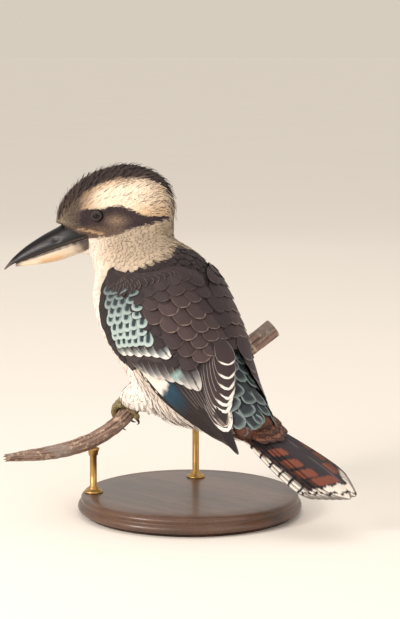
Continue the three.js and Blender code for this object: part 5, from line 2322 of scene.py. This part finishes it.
@dataclass
class Bill:
    """The bill: its upper and lower halves, which meet along the mouth line.

    Rows give the distance ahead of the eyes, the heights of the ridge and the mouth line, or of the mouth
    line and the keel, and the half width.
    """

    upper: tuple = (
        (6, -8, -19.5, 17.6), (20, -6, -24.6, 16.2), (34, -13.6, -29.6, 13.2), (47, -20.8, -34.6, 10),
        (61, -30.1, -40.4, 6.7), (72, -39.6, -45.2, 3.8), (77.5, -45.9, -49, 2), (80, -49.4, -50.6, 0.7),
    )
    lower: tuple = (
        (6, -20.2, -34, 16.8), (14, -22.9, -36, 15.2), (22, -25.8, -39, 14.4), (34, -30, -42.6, 12.2),
        (47, -35, -45.2, 9), (61, -40.8, -46.9, 5.6), (70, -44.7, -47.6, 2.8),
    )
    nostril: tuple = (35.0, -23.0)
    sides: int = 40
    rings: int = 60

    def build(self) -> None:
        """Builds both halves."""
        self.half("bill_top", self.upper, 1.0, self.dark, "bill_dark", "bill_upper")
        self.half("bill_bottom", self.lower, -1.0, self.pale, "bill_pale", "bill_lower")

    def half(
        self, name: str, rows: tuple, way: float, tints: Callable[[Array], Array], slot: str, node: str,
    ) -> None:
        """Lofts one half of the bill.

        Args:
            name: the piece's name.
            rows: its sections.
            way: 1 where the ridge is above the mouth line, -1 where the keel is below it.
            tints: its colours.
            slot: not used.
            node: the node that it replaces.
        """
        angle = np.linspace(-90, 90, self.sides - 11) * RAD
        flat = np.linspace(1, -1, 13)[1:-1]
        rings = []
        for share in np.linspace(0, 1, self.rings):
            ahead, first, second, width = smooth(rows, share)
            ridge, mouth = (first, second) if way > 0 else (second, first)
            full = 0.86 + 0.2 * share
            across = np.sign(np.sin(angle)) * np.abs(np.sin(angle)) ** full
            height = np.cos(angle) ** (1.02 if way > 0 else 0.8)
            left = np.concatenate([across, flat]) * width
            up = np.concatenate(
                [mouth + (ridge - mouth) * height, mouth + (ridge - mouth) * 0.1 * (1 - flat**2)],
            )
            if way > 0:
                dent = np.hypot((ahead - self.nostril[0]) / 3.4, (up - self.nostril[1]) / 1.3)
                left = left * (1 - 0.12 * np.exp(-(dent**2)))
            rings.append(HEAD.place(ahead, left, up))
        piece = loft(name, rings)
        stain(piece, "base", tints(HEAD.local(places_of(piece))))
        finish = HornFinish(f"horn_{name}", 0.42, lines=26.0 if way > 0 else 18.0, specular=0.15, coat=0.08)
        dress(piece, finish, (node,))

    def dark(self, local: Array) -> Array:
        """Colours the upper half: glossy black, with a painted highlight along its middle and painted shade
        in the nostril.

        Args:
            local: places in the head's own coordinates.

        Returns:
            A colour for each.
        """
        ahead, _, up = local.T
        rows = np.array(self.upper)
        ridge, mouth = (np.interp(ahead, rows[:, 0], rows[:, k]) for k in (1, 2))
        high = (up - mouth) / (ridge - mouth)
        # Painted highlight: a pale streak along the middle of the upper half, where its gloss would catch the
        # light.
        painted_highlight = np.exp(-(((high - 0.52 + 0.003 * (ahead - 40)) / 0.13) ** 2))
        painted_highlight = painted_highlight * step(12, 30, ahead) * step(78, 60, ahead) * (0.7 + 0.3 * ripple(local, 9.0, 0.8))
        made = over(evenly("100d0e", len(local)), "5d585a", 0.6 * painted_highlight)
        made = over(made, "8b7d70", 0.35 * step(0.1, 0.0, high))
        made = over(made, "6f655d", 0.7 * step(70, 79, ahead))
        # Painted shade: the nostril is darkened, where the mesh has only a shallow dent.
        hole = np.hypot((ahead - self.nostril[0]) / 2.6, (up - self.nostril[1]) / 0.9)
        return over(made, "0b0908", step(1.3, 0.8, hole))

    def pale(self, local: Array) -> Array:
        """Colours the lower half: horn, with a dark base, edge and tip.

        Args:
            local: places in the head's own coordinates.

        Returns:
            A colour for each.
        """
        ahead, _, up = local.T
        rows = np.array(self.lower)
        mouth, keel = (np.interp(ahead, rows[:, 0], rows[:, k]) for k in (1, 2))
        low = (up - mouth) / (keel - mouth)
        wave = ripple(local, 7.0, 2.1)
        made = evenly("d3c3ad", len(local))
        made = over(made, "d5b088", step(0.3, 0.75, low) * step(22, 34, ahead) * step(56, 44, ahead))
        made = over(made, "efdfc6", step(0.35, 0.7, low) * step(44, 54, ahead))
        made = over(made, "4f4543", step(27, 13, ahead + 9 * low + 2 * wave))
        made = over(made, "3c3536", step(0.3, 0.14, low + 0.05 * wave) * 0.95)
        return over(made, "5b5250", step(62, 70, ahead) * 0.8)


@dataclass
class EyeSet:
    """Eyes and their lids."""

    opening: float = 24.0
    corner: float = 5.0
    outer: float = 6.15
    lid: float = 0.62
    forward: float = 12.0

    def build(self) -> None:
        """Builds both eyes, each with its lids."""
        eye_finish = EyeFinish("eye_wet", 0.08).material()
        lid_finish = HornFinish("eyelid_skin", 0.62, lines=70.0, coat=0.05, amount=0.6).material()
        for side in Side:
            self.build_eye(side, eye_finish)
            self.build_lids(side, lid_finish)

    def frame(self, side: Side) -> tuple[Array, Array, Array, Array]:
        """Gives the eye's middle and its own ways: out, ahead and up.

        Args:
            side: the side of the bird.

        Returns:
            The middle, and the ways out, ahead and up.
        """
        left = -side.value
        turn = self.forward * RAD
        parts = np.array([
            [math.sin(turn), left * math.cos(turn), 0], [math.cos(turn), -left * math.sin(turn), 0],
            [0, 0, 1],
        ])
        middle = HEAD.place(EYE_AHEAD, left * EYE_SIDE, EYE_UP)
        out, ahead, up = parts @ HEAD.axes
        return middle, out, ahead, up

    def build_eye(self, side: Side, finish: Material) -> None:
        """Builds an eyeball with a slightly raised cornea, from its back to its front.

        Args:
            side: the side of the bird.
            finish: the material.
        """
        middle, out, ahead, up = self.frame(side)
        rings = []
        for turn in np.linspace(0.02, math.pi - 0.02, 41):
            front = math.cos(math.pi - turn)
            radius = EYE_RADIUS + 0.25 * float(step(0.7, 1.0, np.array(front)))
            rings.append(oval(
                middle + out * front * radius, ahead * math.sin(turn) * radius, up * math.sin(turn) * radius,
                48,
            ))
        dress(loft(f"eyeball_{side.name.lower()}", rings), finish, (f"eye_{side.name.lower()}",))

    def build_lids(self, side: Side, finish: Material) -> None:
        """Builds the lids from rings laid over the eyeball: a rim, and two finer folds round it.

        Args:
            side: the side of the bird.
            finish: the material.
        """
        middle, out, ahead, up = self.frame(side)
        pieces = []
        for fold, (wider, thick, lift) in enumerate(((0, 0.8, 0.0), (6, 0.9, -0.1), (14, 1.1, -0.2))):
            bpy.ops.object.select_all(action="DESELECT")
            bpy.ops.mesh.primitive_torus_add(
                major_segments=72, minor_segments=12, major_radius=1.0, minor_radius=0.25,
            )
            piece = bpy.context.object
            piece.data.uv_layers[0].name = "around"
            x, y, z = (places_of(piece) * MM).T
            turn = np.arctan2(y, x)
            section = np.stack([np.hypot(x, y) - 1, z], 1) / 0.25
            upper = step(-0.3, 0.5, np.sin(turn))
            reach = self.opening + wider + self.corner * np.abs(np.cos(turn)) ** 5 - 3.0 * upper * (fold == 0)
            ripples = 1 + 0.12 * np.sin(turn * 23 + fold) * (fold > 0)
            radius = self.lid * thick * (1 + 0.25 * upper) * ripples
            polar = reach * RAD + section[:, 0] * radius / self.outer
            height = self.outer + lift + section[:, 1] * radius
            flat = (
                np.cos(turn)[:, None] * ahead + np.sin(turn)[:, None] * up
            ) * (np.sin(polar) * height)[:, None]
            places = middle + out * (np.cos(polar) * height)[:, None] + flat
            move_points(piece, places)
            tint = np.tile(colour("1d1616" if fold == 0 else "392e2e"), (len(places), 1))
            # Painted shade: each ring's colour is darker on the side that faces in against the eyeball and a
            # little lighter on the side that faces out.
            stain(piece, "base", tint * (0.9 + 0.25 * section[:, 1:] * 0.5))
            edit(piece)
            pieces.append(close(piece))
        dress(join(pieces, f"lids_{side.name.lower()}"), finish)


@dataclass(frozen=True)
class Toe:
    """A toe: its name, where it starts and ends round the branch, its place and lean along it."""

    name: str
    start: float
    end: float
    along: float
    lean: float


@dataclass
class Foot:
    """A foot that grips the branch: shin, palm, four scaled toes and their claws."""

    leg: Leg
    toes: tuple = (
        Toe("inner", 10, -112, 6.2, 3), Toe("middle", 12, -150, 0, 0.5), Toe("outer", 12, -135, -6.4, -2.5),
        Toe("hind", 8, 118, -0.5, -1.5),
    )
    radius: float = 3.4
    tip_radius: float = 2.4
    gap: float = 0.9
    sides: int = 18

    def build(self, skin: Material, horn: Material) -> None:
        """Builds the foot's flesh and its claws.

        Args:
            skin: the finish of the scaled skin.
            horn: the finish of the claws.
        """
        self.grip = Grip(self.leg)
        name = self.leg.side.name.lower()
        fleshy, claws = [self.shin(), self.palm()], []
        for toe in self.toes:
            fleshy.append(self.toe(toe))
            claws.append(self.claw(toe))
        foot = join(fleshy, f"foot_{name}")
        tint = np.tile(colour("96845a"), (len(foot.data.vertices), 1))
        shade = 1 + 0.18 * ripple(places_of(foot), 6.0, 0.7)[:, None]
        stain(foot, "base", tint * shade)
        dress(foot, skin, (f"leg_{name}",))
        claw = join(claws, f"claws_{name}")
        stain(claw, "base", np.tile(colour("3b322c"), (len(claw.data.vertices), 1)))
        dress(claw, horn)

    def shin(self) -> Piece:
        """Lofts the short shank from the palm up into the thigh's feathers.

        Returns:
            The part.
        """
        palm = self.grip.point(8, 0, self.grip.radius + 3.4)
        ankle = self.grip.ankle
        thigh = mix(ankle, np.array(self.leg.hip, float), 0.35)
        share = np.linspace(0, 1, 22)
        path = np.where(
            share[:, None] < 0.4, mix(palm, ankle, share[:, None] / 0.4),
            mix(ankle, thigh, (share[:, None] - 0.4) / 0.6),
        )
        radii = np.interp(share, (0, 0.4, 1), (4.7, 3.3, 3.1)) * (1 + 0.045 * np.sin(share * 60))
        return loft("shin", tube_rings(path, radii, self.sides))

    def palm(self) -> Piece:
        """Lofts the pad under the toes' roots.

        Returns:
            The part.
        """
        angle = np.linspace(18, -24, 14)
        path = self.grip.point(angle, 0, self.grip.radius + 3.1)
        radii = 5.2 * np.sin(np.linspace(0.5, math.pi - 0.5, 14)) ** 0.5
        return loft("palm", tube_rings(path, radii, self.sides, 0.85))

    def course(self, toe: Toe, share: Array) -> tuple[Array, Array, Array]:
        """Finds a toe's middle line: angle, place along the branch and height.

        Args:
            toe: the toe.
            share: the place along the length, from 0 to 1.

        Returns:
            The angle, the place along the branch and the height.
        """
        side = self.leg.side.value
        along = -side * toe.along * (0.35 + 0.65 * share) - side * toe.lean * share
        height = self.grip.radius + self.radius + self.gap - 0.7 * share + 0.35 * np.sin(3 * math.pi * share)
        return mix(toe.start, toe.end, share), along, height

    def toe(self, toe: Toe) -> Piece:
        """Lofts one toe with its joints, pads and rows of scutes.

        Args:
            toe: the toe.

        Returns:
            The toe.
        """
        share = np.linspace(0, 1, 46)
        path = self.grip.point(*self.course(toe, share))
        joints = 1 + 0.07 * np.cos(share * 2 * math.pi * 3.5)
        scutes = 1 + 0.05 * (np.mod(share * 15, 1) - 0.5)
        radii = np.linspace(self.radius, self.tip_radius, 46) * joints * scutes
        radii[-3:] *= (0.92, 0.7, 0.35)
        return loft(f"toe_{toe.name}", tube_rings(path, radii, self.sides, 0.92))

    def claw(self, toe: Toe) -> Piece:
        """Lofts one curved claw out of its toe's tip.

        Args:
            toe: the toe.

        Returns:
            The claw.
        """
        share = np.linspace(0, 1, 20)
        side = self.leg.side.value
        angle, along, height = self.course(toe, np.ones(1))
        turn = angle + math.copysign(1, toe.end) * (42 * share - 6)
        rise = height - 0.5 + 2.6 * np.sin(0.8 * math.pi * share) + 1.4 * share
        path = self.grip.point(turn, along - side * toe.lean * share * 0.5, rise)
        radii = mix(1.75, 0.22, share**0.8)
        return loft(f"claw_{toe.name}", tube_rings(path, radii, 14))


@dataclass
class Perch:
    """The cut length of branch, with a splintered end, a sawn end, fissured bark and knots."""

    rings: int = 150
    sides: int = 56
    knots: tuple = ((0.33, 40.0, 3.2), (0.57, 200.0, 2.2), (0.88, 120.0, 2.6))

    def build(self) -> None:
        """Builds the branch."""
        share = np.linspace(0, 1, self.rings)
        turn = np.linspace(0, 2 * math.pi, self.sides, endpoint=False)
        centre, way, radius = branch_section(share)
        across = unit(np.cross(way, UP))
        above = np.cross(across, way)
        s, a = share[:, None], turn[None]
        bark = 0.28 * np.sin(3 * a + 9 * s) + 0.22 * np.sin(17 * s + 2 * a) + 0.16 * np.sin(
            7 * a + 5 * np.sin(30 * s) + 14 * s,
        )
        bark = bark - 0.25 * np.abs(np.sin(5 * a + 3.1 * np.sin(23 * s + a) + 40 * s * 0.2)) ** 6
        for place, side, tall in self.knots:
            near = np.hypot((s - place) * 264 / 6, np.angle(np.exp(1j * (a - side * RAD))) * 8 / 6)
            bark = bark + tall * (np.exp(-(near**2)) - 0.45 * np.exp(-((near * 2.6) ** 2)))
        around = across[:, None] * np.cos(turn)[None, :, None] + above[:, None] * np.sin(turn)[None, :, None]
        rings = centre[:, None] + around * (radius[:, None] + bark)[..., None]
        jag = 3.0 * np.abs(np.sin(turn * 3.7)) + 2.2 * np.abs(np.sin(turn * 8.3 + 1))
        for back in range(5):
            rings[back] -= way[0] * (jag * (1 - back / 5))[:, None]
        broken = rings[0] * 0.55 + (centre[0] + way[0] * 2) * 0.45
        trimmed = [
            centre[-1] + (rings[-1] - centre[-1]) * inner + way[-1] * 0.35
            for inner in (0.965, 0.7, 0.35, 0.05)
        ]
        whole = [centre[0] + way[0] * 3 + (broken - centre[0]) * 0.1, broken, *rings, *trimmed]
        piece = loft("branch", whole)
        piece.data.materials.append(BarkFinish("bark_weathered", 0.85).material())
        piece.data.materials.append(BarkFinish("bark_cut_wood", 0.7, wood=True).material())
        polygons = piece.data.polygons
        centres = np.empty(len(polygons) * 3)
        polygons.foreach_get("center", centres)
        sawn = (centres.reshape(-1, 3) / MM - centre[-1]) @ way[-1] > 0.1
        polygons.foreach_set("material_index", sawn.astype(np.int32))
        dress(piece, piece.data.materials[0], ("perch",))


def turned(name: str, axis: Array, profile: Sequence, sides: int) -> Piece:
    """Lofts a turned piece from its radii and heights round an upright axis.

    Args:
        name: the piece's name.
        axis: a point on the axis.
        profile: radii and heights, from below.
        sides: the number of points in each ring.

    Returns:
        The piece.
    """
    return loft(
        name, [oval(axis + UP * z, np.array([r, 0, 0]), np.array([0, r, 0]), sides) for r, z in profile],
    )


@dataclass
class Stand:
    """The display stand: a turned wooden base and two brass rods with collars."""

    radius: float = 96.0
    height: float = 16.0
    rod_radius: float = 3.0
    holds: tuple = (("left", 0.364), ("right", 0.78))

    def build(self) -> None:
        """Builds base and rods."""
        edge, top = self.radius, self.height
        profile = (
            (edge - 6, 0), (edge - 6, 2.4), (edge - 2, 3.0), (edge - 0.4, 4.2), (edge, 6), (edge - 0.5, 8),
            (edge - 2, 9.2), (edge - 3.2, 9.8), (edge - 3.4, 10.8), (edge - 2.6, 12), (edge - 2.8, 13.6),
            (edge - 4.2, 15.2), (edge - 6.6, top), (edge * 0.75, top), (edge * 0.4, top), (0.5, top),
        )
        base = turned("base_turned", np.zeros(3), profile, 144)
        dress(base, WoodFinish("wood_waxed", 0.38), ("stand_base",))
        brass = BrassFinish("brass_drawn", 0.28).material()
        for name, share in self.holds:
            self.rod(name, share, brass)

    def rod(self, name: str, share: float, finish: Material) -> None:
        """Turns one rod with a collar at its foot and a small cup under the branch.

        Args:
            name: its side.
            share: its place along the branch.
            finish: the material.
        """
        point, _, radius = branch_section(share)
        foot, tall, r = self.height, point[2] - radius, self.rod_radius
        low = ((8, 0), (8.2, 0.8), (7.4, 1.9), (5.6, 2.6), (4.4, 3.6), (4.1, 5), (r, 5.6))
        high = ((r, -7), (4.0, -6.2), (4.3, -3.5), (5.2, -1.6), (5.4, -0.2), (r, 0.6), (r, radius))
        profile = [(wide, foot + z) for wide, z in low] + [(wide, tall + z) for wide, z in high]
        rod = turned(f"rod_{name}", point * (1, 1, 0), profile, 40)
        dress(rod, finish, (f"stand_rod_{name}",))


@dataclass
class Studio:
    """The floor, lights and camera."""

    floor_radius: float = 30.0
    camera_place: tuple = (1.1168, -1.2274, 0.4077)
    camera_way: tuple = (0.66262, -0.73591, 0.13917)
    lens: float = 115.0
    lights: tuple = (
        ("key", (0.1, -1.75, 1.0), 1.2, 11.5, "fff4ec"), ("fill", (1.9, -0.3, 0.8), 1.6, 8.0, "fbfaff"),
        ("top", (-0.2, 0.4, 2.0), 1.6, 6.0, "fff8f0"), ("back", (-1.6, 1.2, 1.0), 1.4, 1.2, "fffaf2"),
        ("spark", (-0.35, -1.5, 0.75), 0.36, 14.0, "fffaf4"),
    )
    aim: tuple = (-0.02, 0.0, 0.16)
    air_tints: tuple = ("e7dccd", "f8f3ec")
    air_strength: float = 0.85

    def build(self) -> None:
        """Sets floor, world, lights and camera."""
        bpy.ops.object.select_all(action="DESELECT")
        bpy.ops.mesh.primitive_circle_add(
            vertices=96, radius=self.floor_radius, fill_type="NGON", location=(0, 0, -0.0002),
        )
        floor = bpy.context.object
        floor.name = "studio_floor"
        bpy.ops.object.transform_apply(location=True, rotation=True, scale=True)
        floor.data.materials.append(FloorFinish("floor_pale", 0.9).material())
        floor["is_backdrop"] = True
        self.air()
        for name, place, size, power, tint in self.lights:
            data = bpy.data.lights.new(name, "AREA")
            data.size = size
            data.energy = power
            data.color = colour(tint)
            lamp = bpy.data.objects.new(name, data)
            lamp.location = place
            lamp.rotation_euler = (Vector(self.aim) - Vector(place)).to_track_quat("-Z", "Y").to_euler()
            bpy.context.scene.collection.objects.link(lamp)
        data = bpy.data.cameras.new("camera")
        data.lens = self.lens
        data.clip_end = 100.0
        camera = bpy.data.objects.new("camera", data)
        camera.location = self.camera_place
        camera.rotation_euler = Vector(self.camera_way).to_track_quat("Z", "Y").to_euler()
        bpy.context.scene.collection.objects.link(camera)
        bpy.context.scene.camera = camera
        bpy.context.scene.view_settings.view_transform = "Standard"

    def air(self) -> None:
        """Sets the soft light from all round, a little dimmer low down, where it meets the floor."""
        world = bpy.data.worlds.new("studio_air")
        world.use_nodes = True
        net = Net(world.node_tree)
        low, high = (rgba(code) for code in self.air_tints)
        air = world.node_tree.nodes["Background"]
        where = net.node("ShaderNodeTexCoord").outputs["Generated"]
        net.feed(air.inputs["Color"], net.blend(net.rise(net.split(where)[2], 0.02, 0.3), low, high))
        air.inputs["Strength"].default_value = self.air_strength
        bpy.context.scene.world = world


def write_sizes() -> None:
    boxes = {"cad": CAD_BOX, "visual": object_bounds()}
    plain = {name: [[float(v) for v in corner] for corner in box] for name, box in boxes.items()}
    log.info("sizes %s", plain)


def main() -> None:
    """Builds the bird, its perch and stand, and the studio."""
    logging.basicConfig(level=logging.INFO, format="%(message)s")
    rng = np.random.default_rng(SEED)
    skin = Skin()
    skin.build()
    Coat(skin, rng).build()
    wing_finishes = {name: finish.material() for name, finish in WING_FINISHES.items()}
    wing_finishes["core"] = SkinFinish("wing_down", 0.8).material()
    for side in Side:
        # Painted shade: the far, right wing's tertials keep only 0.12 of their pale arcs, so that wing reads
        # darker.
        FoldedWing(side, skin, rng, wing_finishes, arcs=1.0 if side is Side.LEFT else 0.12).build()
    Tail(skin, rng).build()
    Bill().build()
    EyeSet().build()
    scaled = FootFinish("foot_scaled", 0.55).material()
    claw = HornFinish("horn_claw", 0.35, lines=12.0).material()
    for leg in LEGS:
        Foot(leg).build(scaled, claw)
    Perch().build()
    Stand().build()
    Studio().build()
    write_sizes()


if __name__ == "__main__":
    main()
